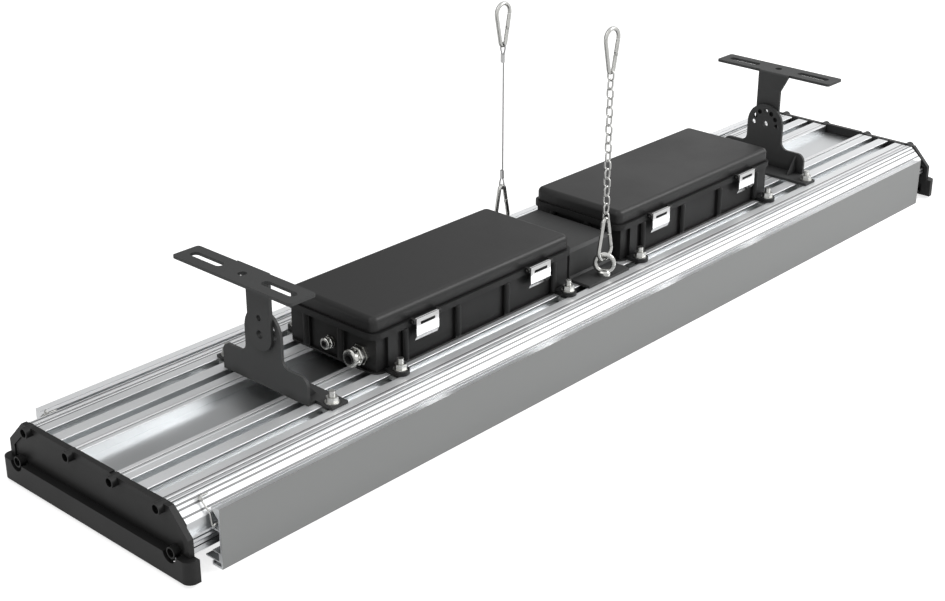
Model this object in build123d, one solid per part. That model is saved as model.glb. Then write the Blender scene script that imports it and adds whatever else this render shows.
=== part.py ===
from build123d import *
import math
import os

os.makedirs("parts", exist_ok=True)

# Axes and units
# Millimetres. X runs along the lamp, Y across it with the front at minus Y, Z up from the side panels' feet.

# End caps
cap_face_x = 585.3
cap_plate = 5.2
cap_band = 7.0
cap_half_width = 123.0
cap_knee_y = 101.0
cap_knee_z = 40.0
cap_top_z = 62.6
cap_crown = 1.2
band_half_width = 129.5
band_foot_z = 3.0
band_top_z = 23.8
band_corner_r = 8.0
boss_r = 5.2
boss_height = 5.7
boss_bore_r = 3.9
boss_seat = 2.5
scallop_r = 8.3
cap_recess = 1.2
end_seal = 1.5

# Heatsink section
deck_z = 62.0
channel_half = 24.5
channel_z = 53.5
side_y = 114.0
shoulder_y = 99.5
shoulder_z = 48.6
sink_foot_z = 19.0
floor_plate = 4.0
port_r = 2.2
port_slit = 1.2
port_z = 58.6
port_in_y = 30.3
port_out_y = 91.0
port_low_y = 106.2
port_low_z = 24.8
groove_y = 47.75
groove_width = 8.5
groove_depth = 8.0
stud_y = 70.5
slot_mouth = 9.5
slot_width = 17.0
slot_lip = 3.0
slot_depth = 9.5
rib_out = 4.0
tongue_z = 35.0
tongue = 1.5

# Light engine under the heatsink
rail_y = 95.0
rail_wall = 2.6
rail_foot_z = 7.0
rail_lip = 1.4
glass = 4.0
glass_lip = 0.8
glass_grip = 2.5
glass_margin = 3.0
board = 1.6
board_half_width = 82.0
board_length = 376.0
board_pitch = 380.0
chip = 5.0
chip_height = 0.9
chip_rows = 4
chip_row_pitch = 38.0
chip_columns = 14
chip_column_pitch = 26.5

# Side panels
panel_short = 23.5
panel_y = 125.7
panel_plate = 2.0
panel_top_z = 56.3
panel_foot_y = 112.5
panel_shelf_y = 104.5
panel_shelf_z = 6.5
panel_web_y = 122.5
panel_upper_z = 14.6
panel_thin = 1.2
clip_wire = 1.6
clip_gap = 1.3

# Driver boxes
box_gap = 5.0
base_half_length = 138.0
base_half_width = 60.0
base_wall = 4.0
base_floor = 3.0
base_recess = 3.0
rim_proud_x = 3.0
rim_proud_y = 0.5
rim_foot_z = 97.5
rim_top_z = 103.6
base_corner_r = 10.0
rib_width = 7.4
rib_groove = 1.4
gasket = 0.8
lid_proud_x = 0.5
lid_inset_y = 3.0
lid_top_z = 118.2
lid_wall = 2.5
lid_edge_r = 5.5
lid_corner_r = 7.0
ear = 4.0
ear_width = 17.0
ear_low_in = 20.4
ear_high_in = 17.0
hinge_drop = 0.2
knuckle_r = 3.2
knuckle_width = 12.0
hinge_pin_r = 1.5
knuckle_in = 53.0
driver_end_room = 43.0
driver_side_room = 27.0
driver_height = 28.0

# Latches on the front of the boxes
latch_width = 29.4
latch_sheet = 1.2
latch_clearance = 0.6
latch_pin_drop = 0.6
latch_low_in = 61.8
latch_high_in = 54.2
latch_pin_r = 1.25
latch_curl_r = 2.3
latch_foot_z = 83.0
latch_slot_length = 19.0
latch_slot_width = 3.0
latch_lug = 3.0
latch_lip = 5.0

# Fasteners
stud_r = 3.0
nut_height = 6.0
nut_flat = 10.0
nut_flange_r = 6.8
stud_beyond_nut = 5.5
hammer_length = 11.0
hammer_height = 4.5

# Hanger bracket between the boxes
sheet = 3.0
hanger_half_length = 32.5
hanger_half_width = 51.0
hanger_top_z = 96.0
hanger_margin = 7.5

# Eye nuts
eye_r = 9.5
eye_wire_r = 2.5
eye_centre_z = 78.0
eye_collar_r = 7.0
eye_collar_height = 5.5
eye_turn = -55.0

# Tilt brackets
strap_x = 397.5
strap_half_width = 15.6
strap_flare = 9.5
strap_flare_z = 157.0
strap_gap = 0.3
pivot_z = 114.7
pivot_hole_r = 4.0
lock_hole_r = 2.9
lock_radius = 16.0
lock_step = 30.0
head_r = 24.2
upright_foot_y = 57.0
upright_shoulder_z = 88.5
upright_round = 9.0
upright_notch = 8.7
web_y = 46.0
web_length = 15.6
web_height = 20.0
flange_end_x = 369.0
bracket_stud_x = 381.0
arm_top_z = 178.4
arm_half_width = 77.9
arm_outer_x = 430.7
arm_hole_x = 415.6
arm_hole_r = 4.2
arm_slot_y = 47.6
arm_slot_length = 42.0
arm_slot_width = 9.0
arm_corner_r = 3.0

# Cable glands on the left box
gland_small_y = 1.3
gland_small_z = 77.6
gland_small_r = 6.0
gland_small_bore = 2.2
gland_small_length = 11.0
gland_large_y = -39.2
gland_large_z = 78.2
gland_large_r = 9.25
gland_large_bore = 4.2
gland_large_length = 18.0

# Snap hooks, chain and rope
hook_height = 48.0
hook_wide = 24.0
hook_narrow = 12.0
hook_wire_r = 2.1
hook_seat = 0.4
gate_pivot_at = 14.4
gate_end_at = 28.6
gate_end_gap = 0.5
rivet_r = 0.6
tongue_half = 0.8
moving_gap = 0.3
link_count = 17
link_inner = 9.45
link_wire_r = 1.0
link_half_width = 3.45
link_gap = 0.15
rope_r = 0.8
rope_gap = 0.1
ferrule_length = 8.5
ferrule_wide = 5.2
ferrule_thick = 3.4
ferrule_to_hook = 9.1

# Values that follow from those above
ear_reach_y = stud_y + ear_width / 2
hanger_foot_y = stud_y + hanger_margin
rim_half_length = base_half_length + rim_proud_x
rim_half_width = base_half_width + rim_proud_y
lid_half_length = base_half_length + lid_proud_x
lid_half_width = base_half_width - lid_inset_y
box_x = hanger_half_length + box_gap + rim_half_length
hinge_y = rim_half_width + knuckle_r + moving_gap
knuckle_offset = base_half_length - knuckle_in
ears_x = (-base_half_length + ear_low_in, base_half_length - ear_high_in)
latches_x = (-base_half_length + latch_low_in, base_half_length - latch_high_in)
latch_pin_y = rim_half_width + latch_curl_r + latch_clearance
latch_pin_z = rim_top_z - latch_pin_drop
driver_length = 2 * (base_half_length - driver_end_room)
driver_width = 2 * (base_half_width - driver_side_room)
driver_screw_y = driver_width / 2 - 9
cap_back_x = cap_face_x - cap_plate
sink_end_x = cap_back_x - end_seal
rail_groove = glass + 2 * glass_lip
box_floor_z = deck_z + base_floor
lid_foot_z = rim_top_z + gasket
hinge_z = lid_foot_z - hinge_drop
panel_half_length = sink_end_x - panel_short


def block(x0, x1, y0, y1, z0, z1):
    return Pos((x0 + x1) / 2, (y0 + y1) / 2, (z0 + z1) / 2) * Box(x1 - x0, y1 - y0, z1 - z0)


def prism_x(points, x0, x1):
    return extrude(Plane.YZ.offset(x0) * Polygon(*points, align=None), amount=x1 - x0, dir=(1, 0, 0))


def rod_x(x0, x1, y, z, r):
    return extrude(Plane.YZ.offset(x0) * Pos(y, z) * Circle(r), amount=x1 - x0)


def rod_y(x, y0, y1, z, r):
    return Pos(x, (y0 + y1) / 2, z) * Rot(90, 0, 0) * Cylinder(r, y1 - y0)


def rod_z(x, y, z0, z1, r):
    return Pos(x, y, (z0 + z1) / 2) * Cylinder(r, z1 - z0)


def hex_x(x0, x1, y, z, across):
    face = Pos(y, z) * RegularPolygon(across / 2, 6, major_radius=False)
    return extrude(Plane.YZ.offset(x0) * face, amount=x1 - x0)


def both_sides(points):
    return points + [(-y, z) for y, z in reversed(points)]


def mirror_x(shape):
    return mirror(shape, about=Plane.YZ)


def mirror_y(shape):
    return mirror(shape, about=Plane.XZ)


def save(name, *shapes):
    solids = [solid for shape in shapes for solid in shape.solids()]
    export_step(Compound(solids), "parts/" + name + ".step")
    print(name, len(solids), round(sum(solid.volume for solid in solids), 1))


# Heatsink
def port_cut(y, z, slit_y, slit_z):
    cut = rod_x(-sink_end_x, sink_end_x, y, z, port_r)
    half = port_slit / 2
    if slit_z > z + half:
        return cut + block(-sink_end_x, sink_end_x, y - half, y + half, z, slit_z)
    return cut + block(-sink_end_x, sink_end_x, min(y, slit_y), max(y, slit_y), z - half, z + half)


def heatsink():
    half = [
        (0, channel_z),
        (channel_half, channel_z),
        (channel_half, deck_z),
        (groove_y - groove_width / 2, deck_z),
        (groove_y - groove_width / 2, deck_z - groove_depth),
        (groove_y + groove_width / 2, deck_z - groove_depth),
        (groove_y + groove_width / 2, deck_z),
        (stud_y - slot_mouth / 2, deck_z),
        (stud_y - slot_mouth / 2, deck_z - slot_lip),
        (stud_y - slot_width / 2, deck_z - slot_lip),
        (stud_y - slot_width / 2, deck_z - slot_depth),
        (stud_y + slot_width / 2, deck_z - slot_depth),
        (stud_y + slot_width / 2, deck_z - slot_lip),
        (stud_y + slot_mouth / 2, deck_z - slot_lip),
        (stud_y + slot_mouth / 2, deck_z),
        (97.4, deck_z),
        (97.4, deck_z - 0.8),
        (98.4, deck_z - 0.8),
        (98.4, deck_z),
        (shoulder_y, deck_z - 0.3),
        (side_y, shoulder_z),
        (side_y, tongue_z + tongue + 2.1),
        (side_y + rib_out, tongue_z + tongue + 2.1),
        (side_y + rib_out, tongue_z + tongue),
        (side_y, tongue_z + tongue),
        (side_y, tongue_z),
        (side_y + rib_out, tongue_z),
        (side_y + rib_out, tongue_z - 2.5),
        (side_y - 1.4, tongue_z - 2.5),
        (side_y - 1.4, 28.3),
        (side_y, 28.3),
        (side_y, sink_foot_z),
        (rail_y, sink_foot_z),
        (rail_y, rail_foot_z),
        (rail_y - rail_wall - glass_grip - 1.0, rail_foot_z),
        (rail_y - rail_wall - glass_grip - 1.0, rail_foot_z + rail_lip),
        (rail_y - rail_wall, rail_foot_z + rail_lip),
        (rail_y - rail_wall, rail_foot_z + rail_lip + rail_groove),
        (rail_y - rail_wall - glass_grip - 1.0, rail_foot_z + rail_lip + rail_groove),
        (rail_y - rail_wall - glass_grip - 1.0, rail_foot_z + 2 * rail_lip + rail_groove),
        (rail_y - rail_wall, rail_foot_z + 2 * rail_lip + rail_groove),
        (rail_y - rail_wall, sink_foot_z),
        (0, sink_foot_z),
    ]
    outline = half[1:-1] + [(-y, z) for y, z in reversed(half[1:-1])]
    body = prism_x(outline, -sink_end_x, sink_end_x)
    low = sink_foot_z + floor_plate
    top = channel_z - 3.2
    chambers = [
        [(1.5, low), (36.5, low), (36.5, top), (1.5, top)],
        [(39.5, low), (58.5, low), (58.5, top), (39.5, top)],
        [(61.5, low), (80.0, low), (80.0, top - 0.8), (61.5, top - 0.8)],
        [(83.0, low), (98.5, low), (98.5, 32.5), (110.6, 32.5), (110.6, 47.2), (105.4, 51.8), (83.0, 51.8)],
        [(36.6, 53.4), (41.0, 53.4), (41.0, 59.4), (36.6, 59.4)],
        [(54.6, 53.4), (59.4, 53.4), (59.4, 59.4), (54.6, 59.4)],
    ]
    for points in chambers:
        cut = prism_x(points, -sink_end_x, sink_end_x)
        body = body - cut - mirror_y(cut)
    ports = [
        port_cut(port_in_y, port_z, 0, deck_z + 1),
        port_cut(port_out_y, port_z, 0, deck_z + 1),
        port_cut(port_low_y, port_low_z, side_y + 1, 0),
    ]
    for cut in ports:
        body = body - cut - mirror_y(cut)
    return body


def port_places():
    places = []
    for y, z in [(port_in_y, port_z), (port_out_y, port_z), (port_low_y, port_low_z)]:
        places += [(y, z), (-y, z)]
    return places


# End caps, their seals and screws
def end_cap():
    outline = both_sides([
        (cap_half_width, band_foot_z),
        (cap_half_width, cap_knee_z),
        (cap_knee_y, cap_top_z),
        (channel_half, cap_top_z),
        (channel_half, cap_top_z + cap_crown),
    ])
    cap = prism_x(outline, cap_back_x, cap_face_x)
    recess = both_sides([
        (cap_half_width - 6.3, band_top_z),
        (cap_half_width - 6.3, 36.1),
        (cap_knee_y - 1.0, 52.7),
        (cap_knee_y - 6.0, 58.0),
    ])
    cap -= prism_x(recess, cap_face_x - cap_recess, cap_face_x + 1)
    band = block(cap_back_x, cap_face_x + cap_band, -band_half_width, band_half_width, band_foot_z, band_top_z)
    corners = band.edges().filter_by(Axis.Z).group_by(Axis.X)[-1]
    band = fillet(corners, band_corner_r)
    for side in (-1, 1):
        band -= rod_x(cap_face_x, cap_face_x + cap_band + 1, side * port_low_y, port_low_z, scallop_r)
    cap += band
    for y, z in port_places():
        cap += rod_x(cap_back_x, cap_face_x + boss_height, y, z, boss_r)
    for y, z in port_places():
        cap -= rod_x(cap_back_x + boss_seat, cap_face_x + cap_band + 1, y, z, boss_bore_r)
        cap -= rod_x(cap_back_x - 1, cap_face_x, y, z, port_r + 0.1)
    cap -= block(cap_back_x - 1, cap_face_x + cap_band - 3, -90, 90, band_foot_z + 3, 18)
    for side in (-1, 1):
        y0, y1 = sorted((side * 94.0, side * 117.0))
        cap -= block(cap_back_x - 1, cap_face_x + cap_band - 3, y0, y1, band_foot_z + 3, 17)
    return cap


def end_seal_sheet():
    outline = both_sides([
        (rail_y, rail_foot_z),
        (rail_y, sink_foot_z),
        (side_y, sink_foot_z),
        (side_y, shoulder_z),
        (shoulder_y, deck_z - 0.3),
        (channel_half, deck_z - 0.3),
        (channel_half, channel_z),
    ])
    seal = prism_x(outline, sink_end_x, cap_back_x)
    for y, z in port_places():
        seal -= rod_x(sink_end_x - 1, cap_back_x + 1, y, z, port_r + 0.2)
    return seal


def end_screws():
    screws = []
    seat = cap_back_x + boss_seat
    for y, z in port_places():
        screw = rod_x(seat, seat + 2.6, y, z, boss_bore_r - 0.4)
        screw -= hex_x(seat + 1.2, seat + 3, y, z, 3.0)
        screw += rod_x(seat - 20, seat, y, z, port_r - 0.3)
        screws.append(screw)
    return screws


# Side panels and their spring clips
def side_panel():
    inner = panel_y - panel_plate
    outline = [
        (-panel_y, 0.6),
        (-panel_y, panel_top_z),
        (-119.4, 55.4),
        (-119.2, 54.8),
        (-118.2, 54.7),
        (-118.0, 55.2),
        (-114.7, 54.7),
        (-inner, 46.2),
        (-inner, tongue_z + tongue),
        (-side_y - 0.3, tongue_z + tongue),
        (-side_y - 0.3, tongue_z),
        (-inner, tongue_z),
        (-inner, panel_upper_z),
        (-side_y, panel_upper_z),
        (-side_y, panel_upper_z - panel_thin),
        (-panel_web_y + panel_thin, panel_upper_z - panel_thin),
        (-panel_web_y + panel_thin, panel_shelf_z),
        (-panel_shelf_y, panel_shelf_z),
        (-panel_shelf_y, panel_shelf_z - panel_thin),
        (-inner, panel_shelf_z - panel_thin),
        (-inner, panel_plate),
        (-panel_foot_y - panel_thin, panel_plate),
        (-panel_foot_y - panel_thin, 3.6),
        (-panel_foot_y, 3.6),
        (-panel_foot_y, 0),
        (-panel_y + 0.6, 0),
    ]
    return prism_x(outline, -panel_half_length, panel_half_length)


def wire_along(points, radii, r):
    path = FilletPolyline(*points, radius=radii)
    start = Plane(origin=path @ 0, z_dir=path % 0)
    return sweep(start * Circle(r), path=path)


def panel_clip():
    x = -panel_half_length - clip_gap - clip_wire / 2
    inside = x + 9
    points = [
        (inside, -side_y - 6.6, 41.6),
        (x, -side_y - 6.6, 41.6),
        (x, -side_y - 5.4, 33.6),
        (x, -side_y - 2.4, 50.6),
        (x, -106.0, 58.9),
        (x, -103.4, 60.0),
        (inside, -103.4, 60.0),
    ]
    return wire_along(points, [1.6, 1.2, 5.0, 1.5, 1.4], clip_wire / 2)


# Light engine
def led_board(centre):
    half = board_length / 2
    return block(centre - half, centre + half, -board_half_width, board_half_width, sink_foot_z - board, sink_foot_z)


def led_chips():
    chips = []
    top = sink_foot_z - board
    for centre in (-board_pitch, 0, board_pitch):
        for row in range(chip_rows):
            y = (row - (chip_rows - 1) / 2) * chip_row_pitch
            for column in range(chip_columns):
                x = centre + (column - (chip_columns - 1) / 2) * chip_column_pitch
                chips.append(block(x - chip / 2, x + chip / 2, y - chip / 2, y + chip / 2, top - chip_height, top))
    return chips


def glass_cover():
    half = rail_y - rail_wall - 1.0
    foot = rail_foot_z + rail_lip + glass_lip
    end = sink_end_x - glass_margin
    return block(-end, end, -half, half, foot, foot + glass)


def glass_seal():
    outer = rail_y - rail_wall
    foot = rail_foot_z + rail_lip
    strip = block(-sink_end_x, sink_end_x, outer - 1.0 - glass_grip, outer, foot, foot + rail_groove)
    strip -= block(-sink_end_x, sink_end_x, 0, outer - 1.0, foot + glass_lip, foot + glass_lip + glass)
    return [strip, mirror_y(strip)]


# Driver boxes, drawn about their own middle and moved to their place
def rounded_block(half_length, half_width, z0, z1, corner):
    body = block(-half_length, half_length, -half_width, half_width, z0, z1)
    return fillet(body.edges().filter_by(Axis.Z), corner)


def box_base():
    base = rounded_block(base_half_length, base_half_width, deck_z, rim_top_z, base_corner_r)
    wall_x = base_half_length - base_recess
    wall_y = base_half_width - base_recess
    foot = deck_z + 2.0
    ribs_x = [part * base_half_length for part in (-0.72, -0.21, 0.2935, 0.804)]
    low_end = -base_half_length
    bays = [(low_end + 2.5, low_end + 15.5), (low_end + 27.5, ribs_x[0] - rib_width / 2)]
    for left, right in zip(ribs_x[:-1], ribs_x[1:]):
        bays.append((left + rib_width / 2, right - rib_width / 2))
    bays.append((ribs_x[-1] + rib_width / 2, base_half_length - 2.5))
    for x0, x1 in bays:
        base -= block(x0, x1, -base_half_width - 1, -wall_y, foot, rim_foot_z)
        base -= block(x0, x1, wall_y, base_half_width + 1, foot, rim_foot_z)
    for x in ribs_x:
        for side in (-1, 1):
            y0, y1 = sorted((side * (base_half_width - 0.9), side * (base_half_width + 1)))
            base -= block(x - rib_groove / 2, x + rib_groove / 2, y0, y1, foot, rim_foot_z)
    for low, high in [(-base_half_width + 2.5, -17.8), (-8.0, 29.2), (38.7, base_half_width - 2.5)]:
        base -= block(-base_half_length - 1, -wall_x, low, high, foot, 99.9)
        base -= block(wall_x, base_half_length + 1, low, high, foot, 99.9)
    rim = rounded_block(rim_half_length, rim_half_width, rim_foot_z, rim_top_z, base_corner_r + 0.5)
    base += rim
    for x in ears_x:
        for side in (-1, 1):
            y0, y1 = sorted((side * (base_half_width - 2), side * (ear_reach_y - ear_width / 2)))
            foot_ear = block(x - ear_width / 2, x + ear_width / 2, y0, y1, deck_z, deck_z + ear)
            foot_ear += rod_z(x, side * (ear_reach_y - ear_width / 2), deck_z, deck_z + ear, ear_width / 2)
            base += foot_ear
            base -= rod_z(x, side * stud_y, deck_z - 1, deck_z + ear + 1, stud_r + 0.3)
    base -= rounded_block(wall_x - base_wall, wall_y - base_wall, box_floor_z, rim_top_z + 1, base_corner_r - 6)
    for x in (-knuckle_offset, knuckle_offset):
        for offset in (-knuckle_width - moving_gap, knuckle_width + moving_gap):
            x0 = x + offset - knuckle_width / 2
            lug = rod_x(x0, x0 + knuckle_width, hinge_y, hinge_z, knuckle_r)
            lug += block(x0, x0 + knuckle_width, rim_half_width - 0.5, hinge_y, rim_foot_z + 1, hinge_z - 1.4)
            base += lug
            base -= rod_x(x0 - 1, x0 + knuckle_width + 1, hinge_y, hinge_z, hinge_pin_r)
    for x in latches_x:
        for side in (-1, 1):
            inner = x + side * (latch_width / 2 + moving_gap + 0.2)
            x0, x1 = sorted((inner, inner + side * latch_lug))
            lug = rod_x(x0, x1, -latch_pin_y, latch_pin_z, latch_curl_r + 0.5)
            lug += block(x0, x1, -latch_pin_y, -rim_half_width + 0.5, latch_pin_z - 2.8, latch_pin_z + 2.8)
            base += lug
            base -= rod_x(x0 - 1, x1 + 1, -latch_pin_y, latch_pin_z, latch_pin_r)
    return base


def box_gasket():
    ring = rounded_block(lid_half_length - 0.8, lid_half_width - 0.8, rim_top_z, lid_foot_z, lid_corner_r - 1)
    inner = rounded_block(lid_half_length - 4.5, lid_half_width - 4.0, rim_top_z - 1, lid_foot_z + 1, lid_corner_r - 4)
    return ring - inner


def box_lid():
    lid = rounded_block(lid_half_length, lid_half_width, lid_foot_z, lid_top_z, lid_corner_r)
    lid = fillet(lid.faces().sort_by(Axis.Z)[-1].edges(), lid_edge_r)
    inner_x = lid_half_length - lid_wall
    inner_y = lid_half_width - lid_wall
    lid -= rounded_block(inner_x, inner_y, lid_foot_z - 1, lid_top_z - lid_wall, lid_corner_r - lid_wall)
    for x in (-knuckle_offset, knuckle_offset):
        x0 = x - knuckle_width / 2
        lug = rod_x(x0, x0 + knuckle_width, hinge_y, hinge_z, knuckle_r)
        lug += block(x0, x0 + knuckle_width, lid_half_width - 1, hinge_y, lid_foot_z + 0.1, hinge_z + knuckle_r)
        lid += lug
        lid -= rod_x(x0 - 1, x0 + knuckle_width + 1, hinge_y, hinge_z, hinge_pin_r + moving_gap)
    return lid


def hinge_pins(centre):
    pins = []
    for x in (-knuckle_offset, knuckle_offset):
        reach = 1.5 * knuckle_width + moving_gap
        pins.append(rod_x(centre + x - reach, centre + x + reach, hinge_y, hinge_z, hinge_pin_r))
    return pins


def latch(centre):
    x0 = centre - latch_width / 2
    x1 = centre + latch_width / 2
    y = -latch_pin_y
    face = y - latch_curl_r
    plate = block(x0, x1, face, face + latch_sheet, latch_foot_z + latch_lip, latch_pin_z + latch_curl_r)
    lip = prism_x([
        (face, latch_foot_z + latch_lip),
        (face + latch_lip / 2, latch_foot_z),
        (face + latch_lip / 2 + latch_sheet, latch_foot_z + 0.4),
        (face + latch_sheet, latch_foot_z + latch_lip + 0.4),
    ], x0, x1)
    curl = rod_x(x0, x1, y, latch_pin_z, latch_curl_r)
    body = plate + lip + curl
    body -= rod_x(x0 - 1, x1 + 1, y, latch_pin_z, latch_pin_r + moving_gap)
    low = latch_pin_z - latch_curl_r - 2.4
    half = latch_slot_length / 2
    return body - block(centre - half, centre + half, face - 1, face + latch_sheet + 0.4, low, low + latch_slot_width)


def latch_pin(centre):
    reach = latch_width / 2 + moving_gap + 0.2 + latch_lug
    return rod_x(centre - reach, centre + reach, -latch_pin_y, latch_pin_z, latch_pin_r)


def driver():
    half = driver_length / 2
    wide = driver_width / 2
    body = block(-half, half, -wide, wide, box_floor_z, box_floor_z + driver_height)
    body = fillet(body.edges().filter_by(Axis.X).group_by(Axis.Z)[-1], 3)
    for side in (-1, 1):
        x0, x1 = sorted((side * half, side * (half + 12)))
        tab = block(x0, x1, -wide, wide, box_floor_z, box_floor_z + 2)
        for y in (-driver_screw_y, driver_screw_y):
            tab -= rod_z(side * (half + 6), y, box_floor_z - 1, box_floor_z + 3, 2.3)
        body += tab
    return body


def driver_screws():
    screws = []
    for x in (-driver_length / 2 - 6, driver_length / 2 + 6):
        for y in (-driver_screw_y, driver_screw_y):
            screw = rod_z(x, y, box_floor_z + 2, box_floor_z + 4.4, 3.6)
            screw += rod_z(x, y, box_floor_z, box_floor_z + 2, 2.0)
            screws.append(screw)
    return screws


# Studs with hammer heads in the heatsink slots, and flange nuts
def t_bolt(x, y, top):
    head_top = deck_z - slot_lip
    half = slot_width / 2 - moving_gap
    bolt = block(x - hammer_length / 2, x + hammer_length / 2, y - half, y + half, head_top - hammer_height, head_top)
    return bolt + rod_z(x, y, head_top, top, stud_r)


def flange_nut(x, y, seat):
    nut = rod_z(x, y, seat, seat + 1.4, nut_flange_r)
    face = Pos(x, y, seat + 1.4) * extrude(RegularPolygon(nut_flat / 2, 6, major_radius=False), amount=nut_height - 1.4)
    return nut + face - rod_z(x, y, seat - 1, seat + nut_height + 1, stud_r + 0.1)


def stud_places():
    places = []
    for side in (-1, 1):
        y = side * stud_y
        for centre in (-box_x, box_x):
            places += [(centre + x, y, deck_z + ear) for x in ears_x]
        places += [(-bracket_stud_x, y, deck_z + sheet), (bracket_stud_x, y, deck_z + sheet)]
    return places


# Hanger bracket and eye nuts
def hanger_bracket():
    inner = hanger_half_width - sheet
    outline = both_sides([
        (hanger_foot_y, deck_z),
        (hanger_foot_y, deck_z + sheet),
        (hanger_half_width + 2, deck_z + sheet),
        (hanger_half_width, deck_z + sheet + 2),
        (hanger_half_width, hanger_top_z - 3),
        (hanger_half_width - 3, hanger_top_z),
    ])
    body = prism_x(outline, -hanger_half_length, hanger_half_length)
    hollow = both_sides([
        (inner, deck_z - 1),
        (inner, hanger_top_z - sheet - 1.5),
        (inner - 1.5, hanger_top_z - sheet),
    ])
    body -= prism_x(hollow, -hanger_half_length - 1, hanger_half_length + 1)
    for side in (-1, 1):
        body -= rod_z(0, side * stud_y, deck_z - 1, deck_z + sheet + 1, stud_r + 0.3)
    return body


def eye_nut(y):
    seat = deck_z + sheet
    collar = rod_z(0, y, seat, seat + eye_collar_height, eye_collar_r)
    collar = chamfer(collar.edges().group_by(Axis.Z)[-1], 1.4)
    ring = Pos(0, y, eye_centre_z) * Rot(0, 0, eye_turn) * Rot(90, 0, 0) * Torus(eye_r, eye_wire_r)
    return collar + ring - rod_z(0, y, seat - 1, seat + 4.5, stud_r + 0.1)


# Tilt brackets, drawn for the left end
def bracket_base():
    face_x = -strap_x + strap_gap
    body = block(face_x, face_x + sheet, -upright_foot_y, upright_foot_y, deck_z, upright_shoulder_z)
    shoulders = body.edges().filter_by(Axis.X).group_by(Axis.Z)[-1]
    body = fillet(shoulders, upright_round)
    neck = block(face_x, face_x + sheet, -head_r, head_r, deck_z, pivot_z)
    body += neck
    roots = body.edges().filter_by(Axis.X).filter_by_position(Axis.Z, upright_shoulder_z - 0.1, upright_shoulder_z + 0.1)
    body = fillet(roots.filter_by_position(Axis.Y, -head_r - 0.1, head_r + 0.1), upright_round)
    body += rod_x(face_x, face_x + sheet, 0, pivot_z, head_r)
    body += block(face_x, -flange_end_x, -hanger_foot_y, hanger_foot_y, deck_z, deck_z + sheet)
    for side in (-1, 1):
        y0, y1 = sorted((side * upright_foot_y, side * (hanger_foot_y + 1)))
        body -= block(face_x - 1, face_x + upright_notch, y0, y1, deck_z - 1, deck_z + sheet + 1)
        foot = (face_x + sheet, deck_z + sheet)
        web = Polygon(foot, (foot[0] + web_length, foot[1]), (foot[0], foot[1] + web_height), align=None)
        body += extrude(Plane.XZ.offset(-side * web_y - 1) * web, amount=2, dir=(0, -1, 0))
    body -= rod_x(face_x - 1, face_x + sheet + 1, 0, pivot_z, pivot_hole_r)
    for step in range(-3, 4):
        angle = math.radians(lock_step * step)
        y = lock_radius * math.sin(angle)
        z = pivot_z + lock_radius * math.cos(angle)
        body -= rod_x(face_x - 1, face_x + sheet + 1, y, z, lock_hole_r)
    for side in (-1, 1):
        body -= rod_z(-bracket_stud_x, side * stud_y, deck_z - 1, deck_z + sheet + 1, stud_r + 0.3)
    return body


def bracket_arm():
    strap = prism_x([
        (-strap_half_width, pivot_z),
        (strap_half_width, pivot_z),
        (strap_half_width, strap_flare_z),
        (strap_half_width + strap_flare, arm_top_z - sheet),
        (strap_half_width + strap_flare, arm_top_z),
        (-strap_half_width, arm_top_z),
    ], -strap_x - sheet, -strap_x)
    strap = fillet(strap.edges().filter_by(Axis.Y).group_by(Axis.Z)[-1].group_by(Axis.X)[-1], 2.5)
    strap += rod_x(-strap_x - sheet, -strap_x, 0, pivot_z, strap_half_width)
    plate = block(-arm_outer_x, -strap_x - sheet, -arm_half_width, arm_half_width, arm_top_z - sheet, arm_top_z)
    plate = fillet(plate.edges().filter_by(Axis.Z), arm_corner_r)
    arm = strap + plate
    half = (arm_slot_length - arm_slot_width) / 2
    for side in (-1, 1):
        y = side * arm_slot_y
        r = arm_slot_width / 2
        arm -= block(-arm_hole_x - r, -arm_hole_x + r, y - half, y + half, arm_top_z - sheet - 1, arm_top_z + 1)
        arm -= rod_z(-arm_hole_x, y - half, arm_top_z - sheet - 1, arm_top_z + 1, r)
        arm -= rod_z(-arm_hole_x, y + half, arm_top_z - sheet - 1, arm_top_z + 1, r)
    arm -= rod_z(-arm_hole_x, 0, arm_top_z - sheet - 1, arm_top_z + 1, arm_hole_r)
    arm -= rod_x(-strap_x - sheet - 1, -strap_x + 1, 0, pivot_z, pivot_hole_r)
    arm -= rod_x(-strap_x - sheet - 1, -strap_x + 1, 0, pivot_z + lock_radius, lock_hole_r)
    return arm


# Cable glands in the left box's end wall
def gland(y, z, r, bore, length, ribs):
    wall = -box_x - base_half_length + base_recess
    inner = wall + base_wall
    thread = r * 0.72
    hex_height = 3.6 if ribs else 2.6
    body = hex_x(wall - hex_height, wall, y, z, 2 * r - 0.4)
    body += rod_x(wall - hex_height - length * 0.45, inner + 4.5, y, z, thread)
    body -= rod_x(wall - length, inner + 5, y, z, bore + 0.9)
    cap_start = wall - hex_height - 0.2
    cap_end = wall - length + 0.6
    cap = rod_x(cap_end, cap_start, y, z, r)
    cap = fillet(cap.edges().group_by(Axis.X)[0], r * 0.22)
    cap -= rod_x(wall - hex_height - length * 0.45 - 0.2, cap_start + 1, y, z, thread + 0.1)
    cap -= rod_x(cap_end - 1, cap_start, y, z, bore + 0.9)
    for step in range(ribs):
        at = cap_start - 1.6 - 1.7 * step
        ring = rod_x(at - 0.8, at, y, z, r + 1) - rod_x(at - 0.8, at, y, z, r - 0.5)
        cap -= ring
    seal = rod_x(wall - length, wall - hex_height, y, z, bore + 0.85) - rod_x(wall - length - 1, wall, y, z, bore)
    nut = hex_x(inner, inner + 3, y, z, 2 * r - 1)
    nut -= rod_x(inner - 1, inner + 4, y, z, thread + 0.1)
    return body, cap, seal, nut


def gland_hole(y, z, r):
    wall = -box_x - base_half_length + base_recess
    return rod_x(wall - 1, wall + base_wall + 1, y, z, r * 0.72 + 0.1)


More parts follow.
